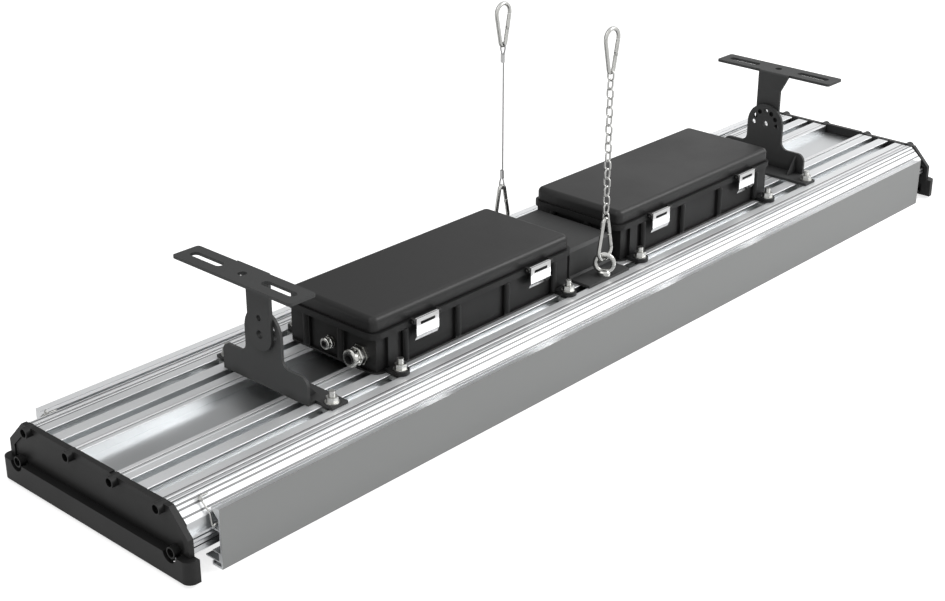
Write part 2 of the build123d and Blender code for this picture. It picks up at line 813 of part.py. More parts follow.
# Snap hooks, drawn with the narrow bow's centre at the origin and the wide bow above it
hook_rn = hook_narrow / 2 - hook_wire_r
hook_rw = hook_wide / 2 - hook_wire_r
hook_bows = hook_height - hook_narrow / 2 - hook_wide / 2
hook_slope = math.asin((hook_rw - hook_rn) / hook_bows)


def side_point(along):
    x = hook_rn * math.cos(hook_slope) + along * math.sin(hook_slope)
    z = -hook_rn * math.sin(hook_slope) + along * math.cos(hook_slope)
    return (x, 0, z)


def side_frame(along):
    tilt = math.degrees(hook_slope)
    return Pos(*side_point(along)) * Rot(0, tilt, 0)


def hook_body():
    side = hook_bows * math.cos(hook_slope)
    right_top = side_point(side)
    right_low = side_point(0)
    left_top = (-right_top[0], 0, right_top[2])
    left_low = (-right_low[0], 0, right_low[2])
    path = Wire([
        Line(side_point(gate_end_at + gate_end_gap), right_top),
        ThreePointArc(right_top, (0, 0, hook_bows + hook_rw), left_top),
        Line(left_top, left_low),
        ThreePointArc(left_low, (0, 0, -hook_rn), right_low),
        Line(right_low, side_point(gate_pivot_at)),
    ])
    start = Plane(origin=path @ 0, z_dir=path % 0)
    body = sweep(start * Circle(hook_wire_r), path=path)
    pivot = side_frame(gate_pivot_at)
    body -= pivot * Sphere(hook_wire_r + moving_gap + 0.05)
    tab = pivot * (Pos(0, 0, -1.75) * Box(3.2, 2 * tongue_half, 3.5))
    tab += pivot * (Rot(90, 0, 0) * Cylinder(1.6, 2 * tongue_half))
    body += tab
    return body - pivot * (Rot(90, 0, 0) * Cylinder(rivet_r + 0.05, 5))


def hook_gate():
    pivot = side_frame(gate_pivot_at)
    length = gate_end_at - gate_pivot_at
    gate = Pos(0, 0, length / 2) * Cylinder(hook_wire_r, length)
    gate += Sphere(hook_wire_r)
    gate -= Pos(0, 0, -0.35) * Box(6, 2 * (tongue_half + moving_gap), 5.3)
    gate -= Rot(90, 0, 0) * Cylinder(rivet_r + moving_gap, 6)
    return pivot * gate


def hook_rivet():
    return side_frame(gate_pivot_at) * (Rot(90, 0, 0) * Cylinder(rivet_r, 3.9))


hook_low_wire_z = eye_centre_z + eye_r - eye_wire_r - hook_wire_r - hook_seat
hook_low_z = hook_low_wire_z + hook_rw + hook_bows
low_narrow_z = hook_low_z + hook_rn
chain_low_z = low_narrow_z - hook_wire_r - link_wire_r - link_gap
link_pitch = link_inner - link_gap
link_half = link_inner / 2 + link_wire_r
chain_top_z = chain_low_z + 2 * link_half + (link_count - 1) * link_pitch
top_narrow_z = chain_top_z - hook_wire_r - link_wire_r - link_gap
hook_top_z = top_narrow_z + hook_rn


def upper(shape, y):
    return Pos(0, y, hook_top_z) * shape


def lower(shape, y):
    return Pos(0, y, hook_low_z) * Rot(180, 0, 0) * shape


def chain_link():
    straight = link_half - link_half_width
    w = link_half_width
    path = Wire([
        Line((0, -w, -straight), (0, -w, straight)),
        ThreePointArc((0, -w, straight), (0, 0, link_half), (0, w, straight)),
        Line((0, w, straight), (0, w, -straight)),
        ThreePointArc((0, w, -straight), (0, 0, -link_half), (0, -w, -straight)),
    ])
    start = Plane(origin=(0, -w, 0), z_dir=(0, 0, 1))
    return sweep(start * Circle(link_wire_r), path=path)


def chain_links():
    link = chain_link()
    turned = Rot(0, 0, 90) * link
    links = []
    for step in range(link_count):
        z = chain_low_z + link_half + step * link_pitch
        links.append(Pos(0, -stud_y, z) * (turned if step % 2 else link))
    return links


def wire_rope():
    y = stud_y
    loop = hook_wire_r + rope_r + rope_gap
    side = rope_r + rope_gap
    top = top_narrow_z
    low = low_narrow_z
    mouth = ferrule_to_hook
    tail = ferrule_length + 0.8
    widen = 4.4
    points = [
        (0, y + side, top - mouth - tail),
        (0, y + side, top - mouth),
        (0, y + loop, top - mouth + widen),
        (0, y + loop, top + loop),
        (0, y - loop, top + loop),
        (0, y - loop, top - mouth + widen),
        (0, y - side, top - mouth),
        (0, y - side, low + mouth),
        (0, y - loop, low + mouth - widen),
        (0, y - loop, low - loop),
        (0, y + loop, low - loop),
        (0, y + loop, low + mouth - widen),
        (0, y + side, low + mouth),
        (0, y + side, low + mouth + tail),
    ]
    arc = loop - 0.01
    radii = [2.5, 2.5, arc, arc, 2.5, 2.5, 2.5, 2.5, arc, arc, 2.5, 2.5]
    path = FilletPolyline(*points, radius=radii)
    rope = sweep(Plane(origin=path @ 0, z_dir=path % 0) * Circle(rope_r), path=path)
    expected = math.pi * rope_r ** 2 * path.length
    print("rope radii", sorted(set(radii)), "length", round(path.length, 2), "volume ratio", round(rope.volume / expected, 4))
    return rope


def ferrule(z0):
    side = rope_r + rope_gap
    outer = extrude(Pos(0, stud_y, z0) * SlotOverall(ferrule_wide, ferrule_thick, rotation=90), amount=ferrule_length)
    slot = SlotCenterToCenter(2 * side, 2 * (rope_r + 0.05), rotation=90)
    return outer - extrude(Pos(0, stud_y, z0 - 1) * slot, amount=ferrule_length + 2)


# Write every piece
sink = heatsink()
save("heatsink", sink)
cap = mirror_x(end_cap())
save("end_cap_left", cap)
save("end_cap_right", end_cap())
seal = end_seal_sheet()
save("end_cap_seal_left", mirror_x(seal))
save("end_cap_seal_right", seal)
screws = end_screws()
save("end_cap_screws", *screws, *[mirror_x(screw) for screw in screws])

panel = side_panel()
save("side_panel_front", panel)
save("side_panel_back", mirror_y(panel))
clip = panel_clip()
save("panel_clips", clip, mirror_y(clip))

save("led_board_left", led_board(-board_pitch))
save("led_board_middle", led_board(0))
save("led_board_right", led_board(board_pitch))
save("led_chips", *led_chips())
save("glass_cover", glass_cover())
save("glass_seal", *glass_seal())

base = box_base()
left = Pos(-box_x, 0, 0)
right = Pos(box_x, 0, 0)
left_base = left * base
left_base -= gland_hole(gland_small_y, gland_small_z, gland_small_r)
left_base -= gland_hole(gland_large_y, gland_large_z, gland_large_r)
save("box_base_left", left_base)
save("box_base_right", right * base)
lid = box_lid()
save("box_lid_left", left * lid)
save("box_lid_right", right * lid)
ring = box_gasket()
save("box_gasket_left", left * ring)
save("box_gasket_right", right * ring)
latch_names = ("latch_left_1", "latch_left_2", "latch_right_1", "latch_right_2")
latch_centres = [centre + x for centre in (-box_x, box_x) for x in latches_x]
for name, x in zip(latch_names, latch_centres):
    save(name, latch(x))
save("latch_pins", *[latch_pin(x) for x in latch_centres])
save("lid_hinge_pins", *hinge_pins(-box_x), *hinge_pins(box_x))
unit = driver()
save("driver_left", left * unit)
save("driver_right", right * unit)
unit_screws = driver_screws()
save("driver_screws", *[left * screw for screw in unit_screws], *[right * screw for screw in unit_screws])

bolts = []
nuts = []
for x, y, seat in stud_places():
    bolts.append(t_bolt(x, y, seat + nut_height + stud_beyond_nut))
    nuts.append(flange_nut(x, y, seat))
for y in (-stud_y, stud_y):
    bolts.append(t_bolt(0, y, deck_z + sheet + 4.2))
save("t_bolts", *bolts)
save("flange_nuts", *nuts)
save("hanger_bracket", hanger_bracket())
save("eye_nut_front", eye_nut(-stud_y))
save("eye_nut_back", eye_nut(stud_y))

tilt_base = bracket_base()
tilt_arm = bracket_arm()
save("bracket_base_left", tilt_base)
save("bracket_base_right", mirror_x(tilt_base))
save("bracket_arm_left", tilt_arm)
save("bracket_arm_right", mirror_x(mirror_y(tilt_arm)))

small = gland(gland_small_y, gland_small_z, gland_small_r, gland_small_bore, gland_small_length, 0)
large = gland(gland_large_y, gland_large_z, gland_large_r, gland_large_bore, gland_large_length, 4)
for name, pieces in (("gland_small", small), ("gland_large", large)):
    for part, shape in zip(("body", "cap", "seal", "locknut"), pieces):
        save(name + "_" + part, shape)

body = hook_body()
gate = hook_gate()
rivet = hook_rivet()
save("hook_chain_top", upper(body, -stud_y))
save("hook_chain_bottom", lower(body, -stud_y))
save("hook_rope_top", upper(body, stud_y))
save("hook_rope_bottom", lower(body, stud_y))
save("gate_chain_top", upper(gate, -stud_y))
save("gate_chain_bottom", lower(gate, -stud_y))
save("gate_rope_top", upper(gate, stud_y))
save("gate_rope_bottom", lower(gate, stud_y))
save("gate_rivets", *[place(rivet, y) for y in (-stud_y, stud_y) for place in (upper, lower)])
save("chain_links", *chain_links())
save("wire_rope", wire_rope())
upper_ferrule = top_narrow_z - ferrule_to_hook - ferrule_length
lower_ferrule = low_narrow_z + ferrule_to_hook
save("rope_ferrules", ferrule(upper_ferrule), ferrule(lower_ferrule))
print("hook pivots", [round(value, 3) for value in side_point(gate_pivot_at)], round(hook_top_z, 3), round(hook_low_z, 3))
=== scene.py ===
import math

import bmesh
import bpy
from bpy.props import FloatProperty, FloatVectorProperty, IntProperty, PointerProperty
from mathutils import Euler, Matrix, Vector


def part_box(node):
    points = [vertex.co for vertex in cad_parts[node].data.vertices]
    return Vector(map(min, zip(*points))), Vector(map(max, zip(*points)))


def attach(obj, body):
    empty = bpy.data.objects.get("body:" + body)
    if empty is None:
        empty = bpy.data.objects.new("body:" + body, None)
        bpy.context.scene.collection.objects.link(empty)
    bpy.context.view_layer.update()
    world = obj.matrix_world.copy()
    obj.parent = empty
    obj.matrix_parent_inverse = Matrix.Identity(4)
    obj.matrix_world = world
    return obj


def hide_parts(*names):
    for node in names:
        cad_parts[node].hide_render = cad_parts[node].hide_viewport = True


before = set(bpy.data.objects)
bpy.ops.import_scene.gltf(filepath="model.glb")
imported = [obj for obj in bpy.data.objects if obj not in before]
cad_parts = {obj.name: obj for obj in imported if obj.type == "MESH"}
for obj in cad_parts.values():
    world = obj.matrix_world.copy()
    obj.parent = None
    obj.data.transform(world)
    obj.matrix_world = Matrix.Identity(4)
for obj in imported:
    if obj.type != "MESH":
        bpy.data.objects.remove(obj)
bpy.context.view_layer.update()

bl_info = {
    "name": "Tunnel Light",
    "version": (1, 0, 0),
    "blender": (4, 5, 0),
    "location": "3D View > Sidebar > Tunnel Light",
    "description": "Finishes and detail pieces for a long LED tunnel light",
    "category": "Object",
}

BODY = "lamp"

CHAIN_LOW, CHAIN_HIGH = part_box("chain_links")
CHAIN_MIDDLE = (CHAIN_LOW + CHAIN_HIGH) / 2
DECK_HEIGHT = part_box("heatsink")[1].z
PANEL_REACH = -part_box("side_panel_front")[0].y

# The extrusion's finish: depths below the deck, and places across it from the lamp's middle
LAND_DEPTH = 0.00045
SHOULDER_START = 0.0990
SHOULDER_DEPTH = 0.0135
BEADS = ((0.0330, 0.0016), (0.0885, 0.0016), (0.0945, 0.0014))
HAIR_LINES = (0.0862, 0.0967, 0.1013, 0.1045, 0.1098)
PANEL_SKIN = 0.00015
RELIEF_DEPTH = 0.0004

# Merging of doubles, and which of the extrusion's edges are eased: how long, and how far below the deck
WELD = 1e-6
LONG_EDGE = 1.0
UPPER_EDGES = 0.015

# Shares of a link's width in its bend and of a rib's radius at its ends, and the small pieces' steps
FULL_BEND = 0.4995
COLUMN_END = 0.72
CLAWS = 8
CLAW_RISE = 0.15
EYE_STEPS = 30

# The studio: the camera, the two lamps, the floor's glow and how the room darkens towards the back
CAMERA_PLACE = (-1.26316, -1.04895, 0.75770)
CAMERA_TURN = (math.radians(65.607), 0, math.radians(-47.391))
KEY_PLACE = (1.7, -1.5, 1.6)
FILL_PLACE = (-1.6, 0.4, 2.6)
FLOOR_HEIGHT = -0.0004
FLOOR_SEEN = 0.72
FLOOR_MIRRORED = 0.2
ROOM_FADE = (0.42, 0.74)


# Sizes and colours that a user would change
def colour(name, text, value):
    return FloatVectorProperty(
        name=name, description=text, subtype="COLOR", size=3, min=0, max=1, default=value,
    )


def length(name, text, value):
    return FloatProperty(name=name, description=text, default=value, min=0, unit="LENGTH", precision=5)


def amount(name, text, value, low, high):
    return FloatProperty(name=name, description=text, default=value, min=low, max=high)


def count(name, text, value, low, high):
    return IntProperty(name=name, description=text, default=value, min=low, max=high)


class MetalColours(bpy.types.PropertyGroup):
    heatsink: colour("Heatsink", "Bright aluminium extrusion", (0.72, 0.735, 0.745))
    # Lighter than the heatsink: a painted highlight on upward faces of the heatsink and side panels; the
    # panels' cut ends reuse it.
    land: colour("Lands", "Brushed lands of the extrusion", (0.90, 0.91, 0.92))
    panel: colour("Side panel", "Satin anodised side extrusion", (0.34, 0.345, 0.343))
    latch: colour("Latch", "Polished stainless latch", (0.749, 0.749, 0.749))
    hook: colour("Hooks", "Plated hooks and eye nuts", (0.62, 0.62, 0.60))
    chain: colour("Chain", "Zinc plated chain", (0.60, 0.60, 0.585))
    bolt: colour("Fasteners", "Zinc plated studs and nuts", (0.60, 0.60, 0.58))
    nickel: colour("Cable glands", "Nickel plated brass", (0.60, 0.60, 0.575))
    rope: colour("Wire rope", "Stranded steel", (0.451, 0.451, 0.451))
    ferrule: colour("Ferrules", "Pressed aluminium sleeve", (0.698, 0.698, 0.698))


class DarkColours(bpy.types.PropertyGroup):
    cap: colour("End caps", "Black moulded end cap", (0.023, 0.023, 0.023))
    box: colour("Driver boxes", "Black moulded base", (0.020, 0.020, 0.020))
    lid: colour("Lids", "Black moulded lid", (0.026, 0.026, 0.026))
    bracket: colour("Brackets", "Black powder coat", (0.070, 0.071, 0.071))
    rubber: colour("Seals", "Black rubber", (0.012, 0.012, 0.012))


class LightEngineColours(bpy.types.PropertyGroup):
    board: colour("Boards", "White solder mask", (0.85, 0.86, 0.86))
    chip: colour("Emitters", "Yellow phosphor", (0.80, 0.62, 0.12))
    case: colour("Driver case", "Painted driver case", (0.749, 0.749, 0.7608))
    glass: colour("Cover", "Clear cover glass", (0.96, 0.98, 0.98))


class RopeSizes(bpy.types.PropertyGroup):
    width: length("Rope diameter", "Overall diameter of the wire rope", 0.0016)
    strands: count("Strands", "Outer strands of the rope", 6, 3, 12)
    lay: length("Lay", "Length of one turn of a strand", 0.011)
    middle_y: length("Place across the lamp", "Distance of the rope from the lamp's middle", 0.0705)
    loop: length("Loop", "Radius of the loops round the hooks' wire", 0.0030)
    pair: length("Pair", "Half the distance between the two runs in a ferrule", 0.0009)
    top: length("Upper hook", "Height of the upper hook's lower bow", 0.28005)
    low: length("Lower hook", "Height of the lower hook's upper bow", 0.1263)
    mouth: length("Mouth", "Distance from a bow to its ferrule", 0.0091)
    tail: length("Tail", "Length of the rope's end in a ferrule", 0.0093)


class ChainSizes(bpy.types.PropertyGroup):
    links: count("Links", "Number of links", 17, 1, 60)
    wire: length("Wire", "Radius of a link's wire", 0.0010)
    width: length("Width", "Distance between the middles of a link's sides", 0.0069)
    height: length("Height", "Distance between the middles of a link's ends", 0.01045)
    pitch: length("Pitch", "Distance from link to link", 0.0093)


class EdgeSizes(bpy.types.PropertyGroup):
    wide_face: length("Wide face", "Least width of the faces beside a well rounded edge", 0.0024)
    wide_radius: length("Wide radius", "Rounding between wide faces", 0.0008)
    narrow_face: length("Narrow face", "Least width of the faces beside a lightly rounded edge", 0.0007)
    narrow_radius: length("Narrow radius", "Rounding beside narrow faces", 0.0003)


class RibSizes(bpy.types.PropertyGroup):
    half_length: length("Half length", "From a box's middle to its end face", 0.138)
    half_width: length("Half width", "From a box's middle to its long face", 0.060)
    inset: length("Inset", "From the face in to the ribs' middles", 0.0010)
    radius: length("Radius", "Radius of a rib's round front", 0.0032)
    ease: length("Ease", "Length over which the rib's ends are rounded", 0.0014)
    foot: length("Foot", "Height of the ribs' lower ends", 0.0650)
    top: length("Top", "Height of the ribs' upper ends", 0.0972)
    long_side: FloatVectorProperty(
        name="Long side", description="Shares of the half length", size=4,
        default=(-0.72, -0.21, 0.2935, 0.804),
    )
    end_side: FloatVectorProperty(
        name="End side", description="Places across the lamp", size=2,
        default=(-0.0129, 0.03395), precision=5,
    )


class GlandSizes(bpy.types.PropertyGroup):
    sides: count("Sides", "Sides of the turned shape", 48, 16, 96)
    hexagon: amount("Hexagon", "Share of the cap's radius", 0.93, 0.5, 1)
    claw: amount("Claws", "Share of the cap's radius between the claws", 0.72, 0.6, 1)
    bore: amount("Bore", "Share of the cap's radius", 0.55, 0.2, 0.7)


class ClipSizes(bpy.types.PropertyGroup):
    wire: length("Wire", "Radius of the clip's wire", 0.0008)
    eye: length("Eye", "Radius of the eye", 0.0022)
    eye_y: length("Place across", "Distance of the eye from the lamp's middle", 0.1056)


class ThreadSizes(bpy.types.PropertyGroup):
    radius: length("Stud radius", "Radius at the middle of a crest", 0.00285)
    wire: length("Crest", "Half the width of a crest", 0.00035)
    pitch: length("Pitch", "Distance from crest to crest", 0.0010)
    crests: count("Crests", "Crests above each nut", 5, 1, 20)


class StageSizes(bpy.types.PropertyGroup):
    floor: length("Floor", "Width of the floor", 14.0)
    lens: amount("Lens", "Focal length in millimetres", 64.342, 10, 300)
    sky: amount("Sky", "Strength of the surrounding light", 0.55, 0, 4)
    back: amount("Back", "Share of the light that the room behind gives", 0.2, 0, 1)
    key: amount("Key light", "Power of the key light in watts", 30.0, 0, 500)
    fill: amount("Fill light", "Power of the fill light in watts", 8.0, 0, 500)


# Node helpers
def feed(tree, inputs, values):
    """Gives inputs their values, each a socket or a plain value."""
    for key, value in values.items():
        if isinstance(value, bpy.types.NodeSocket):
            tree.links.new(value, inputs[key])
        else:
            inputs[key].default_value = value


def node(tree, kind, values=None, **settings):
    made = tree.nodes.new(kind)
    for key, value in settings.items():
        setattr(made, key, value)
    feed(tree, made.inputs, values or {})
    return made


def number(tree, operation, first, second=0.0, third=0.0, clamp=False):
    values = {0: first, 1: second, 2: third}
    return node(tree, "ShaderNodeMath", values, operation=operation, use_clamp=clamp).outputs[0]


def distance(tree, value, middle):
    return number(tree, "ABSOLUTE", number(tree, "SUBTRACT", value, middle))


def ramp(tree, value, low, high, start=0.0, end=1.0, kind="LINEAR"):
    """Turns a value between low and high into one between start and end."""
    values = {"Value": value, "From Min": low, "From Max": high, "To Min": start, "To Max": end}
    return node(tree, "ShaderNodeMapRange", values, interpolation_type=kind).outputs["Result"]


def noise(tree, spot, scale, detail, roughness):
    values = {"Vector": spot, "Scale": scale, "Detail": detail, "Roughness": roughness}
    return node(tree, "ShaderNodeTexNoise", values, noise_dimensions="3D").outputs["Fac"]


def mix_colour(tree, mask, low, high, blend="MIX"):
    values = {0: mask, 6: low, 7: high}
    return node(tree, "ShaderNodeMix", values, data_type="RGBA", blend_type=blend).outputs[2]


def mix_number(tree, mask, low, high):
    return node(tree, "ShaderNodeMix", {0: mask, 2: low, 3: high}, data_type="FLOAT").outputs[0]


def coordinates(tree, kind="Object"):
    return node(tree, "ShaderNodeTexCoord").outputs[kind]


def axes(tree, vector):
    return node(tree, "ShaderNodeSeparateXYZ", {"Vector": vector}).outputs


# Shader node groups that the finishes share
def shader_group(name, inputs, outputs):
    """An empty group, with the sockets that enter it and that leave it."""
    tree = bpy.data.node_groups.new(name, "ShaderNodeTree")
    for label, value in inputs.items():
        socket = tree.interface.new_socket(label, in_out="INPUT", socket_type="NodeSocketFloat")
        socket.default_value = value
    for label in outputs:
        tree.interface.new_socket(label, in_out="OUTPUT", socket_type="NodeSocketFloat")
    return tree, node(tree, "NodeGroupInput").outputs, node(tree, "NodeGroupOutput").inputs


def placed(tree, name, values=None):
    """The outputs of a shared group, placed in a material."""
    return node(tree, "ShaderNodeGroup", values, node_tree=bpy.data.node_groups[name]).outputs


def moulded_skin():
    """Fine grain, and clouds of handling."""
    inputs = {"Grain": 900.0, "Cloud": 9.0}
    tree, entry, leave = shader_group("moulded_skin", inputs, ["Height", "Handling"])
    spot = coordinates(tree)
    feed(tree, leave, {
        "Height": noise(tree, spot, entry["Grain"], 3.0, 0.6),
        "Handling": ramp(tree, noise(tree, spot, entry["Cloud"], 4.0, 0.55), 0.35, 0.65),
    })


def drawn_lines():
    """Lines along the lamp, as the die leaves them."""
    inputs = {"Across": 700.0, "Along": 3.0, "Cloud": 6.0}
    tree, entry, leave = shader_group("drawn_lines", inputs, ["Height", "Handling"])
    spot = coordinates(tree)
    scale = {"X": entry["Along"], "Y": entry["Across"], "Z": entry["Across"]}
    scale = node(tree, "ShaderNodeCombineXYZ", scale).outputs["Vector"]
    drawn = node(tree, "ShaderNodeVectorMath", {0: spot, 1: scale}, operation="MULTIPLY")
    feed(tree, leave, {
        "Height": noise(tree, drawn.outputs["Vector"], 1.0, 4.0, 0.65),
        "Handling": ramp(tree, noise(tree, spot, entry["Cloud"], 3.0, 0.5), 0.3, 0.7),
    })


def plated_spots():
    """The small crystals and dull patches of a plated surface."""
    inputs = {"Spangle": 420.0, "Cloud": 60.0}
    tree, entry, leave = shader_group("plated_spots", inputs, ["Height", "Handling"])
    spot = coordinates(tree)
    cells = {"Vector": spot, "Scale": entry["Spangle"]}
    feed(tree, leave, {
        "Height": node(tree, "ShaderNodeTexVoronoi", cells, feature="F1").outputs["Distance"],
        "Handling": ramp(tree, noise(tree, spot, entry["Cloud"], 3.0, 0.6), 0.3, 0.7),
    })


def deck_bands():
    """The heatsink's brushed lands, which the finish also paints lighter as a highlight on the top faces, and
    the low beads and hair lines along them.
    """
    inputs = {"Deck": DECK_HEIGHT, "Bead height": 0.0005, "Line half width": 0.0007}
    tree, entry, leave = shader_group("deck_bands", inputs, ["Face", "Relief", "Line"])
    spot = axes(tree, coordinates(tree))
    across = number(tree, "ABSOLUTE", spot["Y"])
    under = number(tree, "SUBTRACT", entry["Deck"], spot["Z"])
    shoulder = number(tree, "GREATER_THAN", across, SHOULDER_START)
    shoulder = number(tree, "MULTIPLY", shoulder, number(tree, "LESS_THAN", under, SHOULDER_DEPTH))
    land = number(tree, "MAXIMUM", number(tree, "LESS_THAN", under, LAND_DEPTH), shoulder)
    height = 0.0
    for middle, half in BEADS:
        bead = ramp(tree, distance(tree, across, middle), half, 0.0, kind="SMOOTHSTEP")
        height = number(tree, "ADD", bead, height)
    line = 0.0
    for middle in HAIR_LINES:
        near = number(tree, "LESS_THAN", distance(tree, across, middle), entry["Line half width"])
        line = number(tree, "MAXIMUM", near, line)
    relief = number(tree, "MULTIPLY", height, entry["Bead height"])
    feed(tree, leave, {
        "Face": land,
        "Relief": number(tree, "MULTIPLY", relief, land),
        "Line": number(tree, "MULTIPLY", line, land),
    })


def turned_faces(name, axis, least):
    """The faces that look along one of the object's axes."""
    tree, entry, leave = shader_group(name, {"Least": least}, ["Face"])
    along = axes(tree, coordinates(tree, "Normal"))[axis]
    if axis == "X":
        along = number(tree, "ABSOLUTE", along)
    feed(tree, leave, {"Face": number(tree, "GREATER_THAN", along, entry["Least"])})


def outer_face():
    """The side panels' large outer faces; their other faces are left bright."""
    tree, entry, leave = shader_group("outer_face", {"Reach": PANEL_REACH}, ["Face"])
    across = number(tree, "ABSOLUTE", axes(tree, coordinates(tree))["Y"])
    inward = number(tree, "SUBTRACT", entry["Reach"], across)
    feed(tree, leave, {"Face": number(tree, "LESS_THAN", inward, PANEL_SKIN)})


def hollow_shade():
    """Painted shade: an ambient occlusion mask of corners and recesses, used to darken their colour."""
    tree, entry, leave = shader_group("hollow_shade", {"Reach": 0.012, "Power": 1.4}, ["Open"])
    corner = node(tree, "ShaderNodeAmbientOcclusion", {"Distance": entry["Reach"]}, samples=8)
    feed(tree, leave, {"Open": number(tree, "POWER", corner.outputs["AO"], entry["Power"])})


# Finishes
def new_material(name):
    """A material, its node tree and the inputs of its shader."""
    material = bpy.data.materials.new(name)
    material.use_nodes = True
    return material, material.node_tree, shader_inputs(material)


def shader_inputs(material):
    return material.node_tree.nodes["Principled BSDF"].inputs


def source(shader, label):
    """The socket that feeds one of the shader's inputs."""
    return shader[label].links[0].from_socket


def finish(
    name, tint, skin, roughness, spread, bump, metallic=0.0, shade=0.88, marks=None, sheen=0.0, gloss=0.5,
):
    """A colour whose roughness, tone and fine relief come from one of the shared groups."""
    material, tree, shader = new_material(name)
    surface = placed(tree, skin, marks)
    handling = surface["Handling"]
    worn = (*[part * shade for part in tint], 1)
    relief = {"Height": surface["Height"], "Strength": bump, "Distance": RELIEF_DEPTH}
    feed(tree, shader, {
        "Base Color": mix_colour(tree, handling, worn, (*tint, 1)),
        "Roughness": ramp(tree, handling, 0.0, 1.0, roughness - spread, roughness + spread),
        "Normal": node(tree, "ShaderNodeBump", relief).outputs["Normal"],
        "Metallic": metallic,
        "Sheen Weight": sheen,
        "Specular IOR Level": gloss,
    })
    return material


def paint_hollow_shade(material, reach, power):
    """Paints shade into the colour, so that corners and recesses fall darker than the open faces."""
    tree = material.node_tree
    shader = shader_inputs(material)
    openness = placed(tree, "hollow_shade", {"Reach": reach, "Power": power})["Open"]
    dark = (0.002, 0.002, 0.002, 1)
    feed(tree, shader, {"Base Color": mix_colour(tree, openness, dark, source(shader, "Base Color"))})


def face_finish(material, faces, tint, roughness, metallic=None):
    """Gives the faces that a shared group picks out a second colour, gloss and relief."""
    tree = material.node_tree
    shader = shader_inputs(material)
    picked = placed(tree, faces)
    face = picked["Face"]
    changed = {
        "Base Color": mix_colour(tree, face, source(shader, "Base Color"), (*tint, 1)),
        "Roughness": mix_number(tree, face, source(shader, "Roughness"), roughness),
    }
    if metallic is not None:
        changed["Metallic"] = mix_number(tree, face, shader["Metallic"].default_value, metallic)
    if "Relief" in picked:
        beads = {"Height": picked["Relief"], "Strength": 1.0, "Distance": 1.0}
        beads["Normal"] = source(shader, "Normal")
        changed["Normal"] = node(tree, "ShaderNodeBump", beads).outputs["Normal"]
    feed(tree, shader, changed)


def draw_lines(material, faces, share):
    """Darkens the hair lines that a shared group picks out."""
    tree = material.node_tree
    shader = shader_inputs(material)
    line = placed(tree, faces)["Line"]
    dark = (share, share, share, 1)
    toned = mix_colour(tree, line, source(shader, "Base Color"), dark, blend="MULTIPLY")
    feed(tree, shader, {"Base Color": toned})


def cover_glass(tint):
    material, tree, shader = new_material("cover_glass")
    surface = placed(tree, "moulded_skin", {"Cloud": 14.0})
    feed(tree, shader, {
        "Base Color": (*tint, 1),
        "Metallic": 0.0,
        "Transmission Weight": 0.9,
        "IOR": 1.5,
        "Roughness": ramp(tree, surface["Handling"], 0.0, 1.0, 0.02, 0.08),
    })
    return material


def dress(names, material):
    """Gives carried-over solids their finish."""
    for name in names:
        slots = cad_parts[name].data.materials
        slots.clear()
        slots.append(material)


# Pieces built here
def mesh_piece(name, bm, material, replaced=(), smooth=True):
    mesh = bpy.data.meshes.new(name)
    bm.to_mesh(mesh)
    bm.free()
    for face in mesh.polygons:
        face.use_smooth = smooth
    piece = bpy.data.objects.new(name, mesh)
    bpy.context.scene.collection.objects.link(piece)
    mesh.materials.append(material)
    return settle(piece, replaced)


def settle(piece, replaced=()):
    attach(piece, BODY)
    if replaced:
        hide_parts(*replaced)
    return piece


def carried_axes(points, first=None):
    """Two axes across a line at each of its points, carried along so that they don't twist."""
    normal = first
    made = []
    for index in range(len(points)):
        before = points[max(index - 1, 0)]
        after = points[min(index + 1, len(points) - 1)]
        tangent = (after - before).normalized()
        if normal is None:
            normal = tangent.orthogonal().normalized()
        normal = (normal - tangent * normal.dot(tangent)).normalized()
        made.append((normal, tangent.cross(normal)))
    return made


def tube_rings(bm, points, radius, sides):
    """A closed round tube along points."""
    rings = []
    for point, (normal, other) in zip(points, carried_axes(points)):
        ring = []
        for side in range(sides):
            angle = 2 * math.pi * side / sides
            ring.append(bm.verts.new(point + radius * (math.cos(angle) * normal + math.sin(angle) * other)))
        rings.append(ring)
    for low, high in zip(rings[:-1], rings[1:]):
        for side in range(sides):
            after = (side + 1) % sides
            bm.faces.new((low[side], low[after], high[after], high[side]))
    bm.faces.new(list(reversed(rings[0])))
    bm.faces.new(rings[-1])


def rope_route(sizes):
    """From the lower ferrule round the lower hook, up, round the upper hook and into its ferrule."""
    y, loop, pair = sizes.middle_y, sizes.loop, sizes.pair
    top, low, mouth, tail = sizes.top, sizes.low, sizes.mouth, sizes.tail
    widen = 0.0044
    hook_stand_off = 0.010
    return [
        (0, y + pair, low + mouth + tail),
        (0, y + pair, low + mouth),
        (0, y + loop, low + mouth - widen),
        (0, y + loop, low - loop),
        (0, y - loop, low - loop),
        (0, y - loop, low + mouth - widen),
        (0, y - pair, low + mouth),
        (0, y - pair, low + mouth + hook_stand_off),
        (0, y - pair, top - mouth - hook_stand_off),
        (0, y - pair, top - mouth),
        (0, y - loop, top - mouth + widen),
        (0, y - loop, top + loop),
        (0, y + loop, top + loop),
        (0, y + loop, top - mouth + widen),
        (0, y + pair, top - mouth),
        (0, y + pair, top - mouth - tail),
    ]


def smooth_line(route):
    """The points of one smooth NURBS curve whose control points are the route's."""
    data = bpy.data.curves.new("route", "CURVE")
    data.dimensions = "3D"
    data.resolution_u = 16
    spline = data.splines.new("NURBS")
    spline.points.add(len(route) - 1)
    for point, place in zip(spline.points, route):
        point.co = (*place, 1)
    spline.order_u = 3
    spline.use_endpoint_u = True
    holder = bpy.data.objects.new("route", data)
    bpy.context.scene.collection.objects.link(holder)
    bpy.context.view_layer.update()
    mesh = bpy.data.meshes.new_from_object(holder.evaluated_get(bpy.context.evaluated_depsgraph_get()))
    points = [vertex.co.copy() for vertex in mesh.vertices]
    bpy.data.objects.remove(holder)
    bpy.data.curves.remove(data)
    bpy.data.meshes.remove(mesh)
    return points


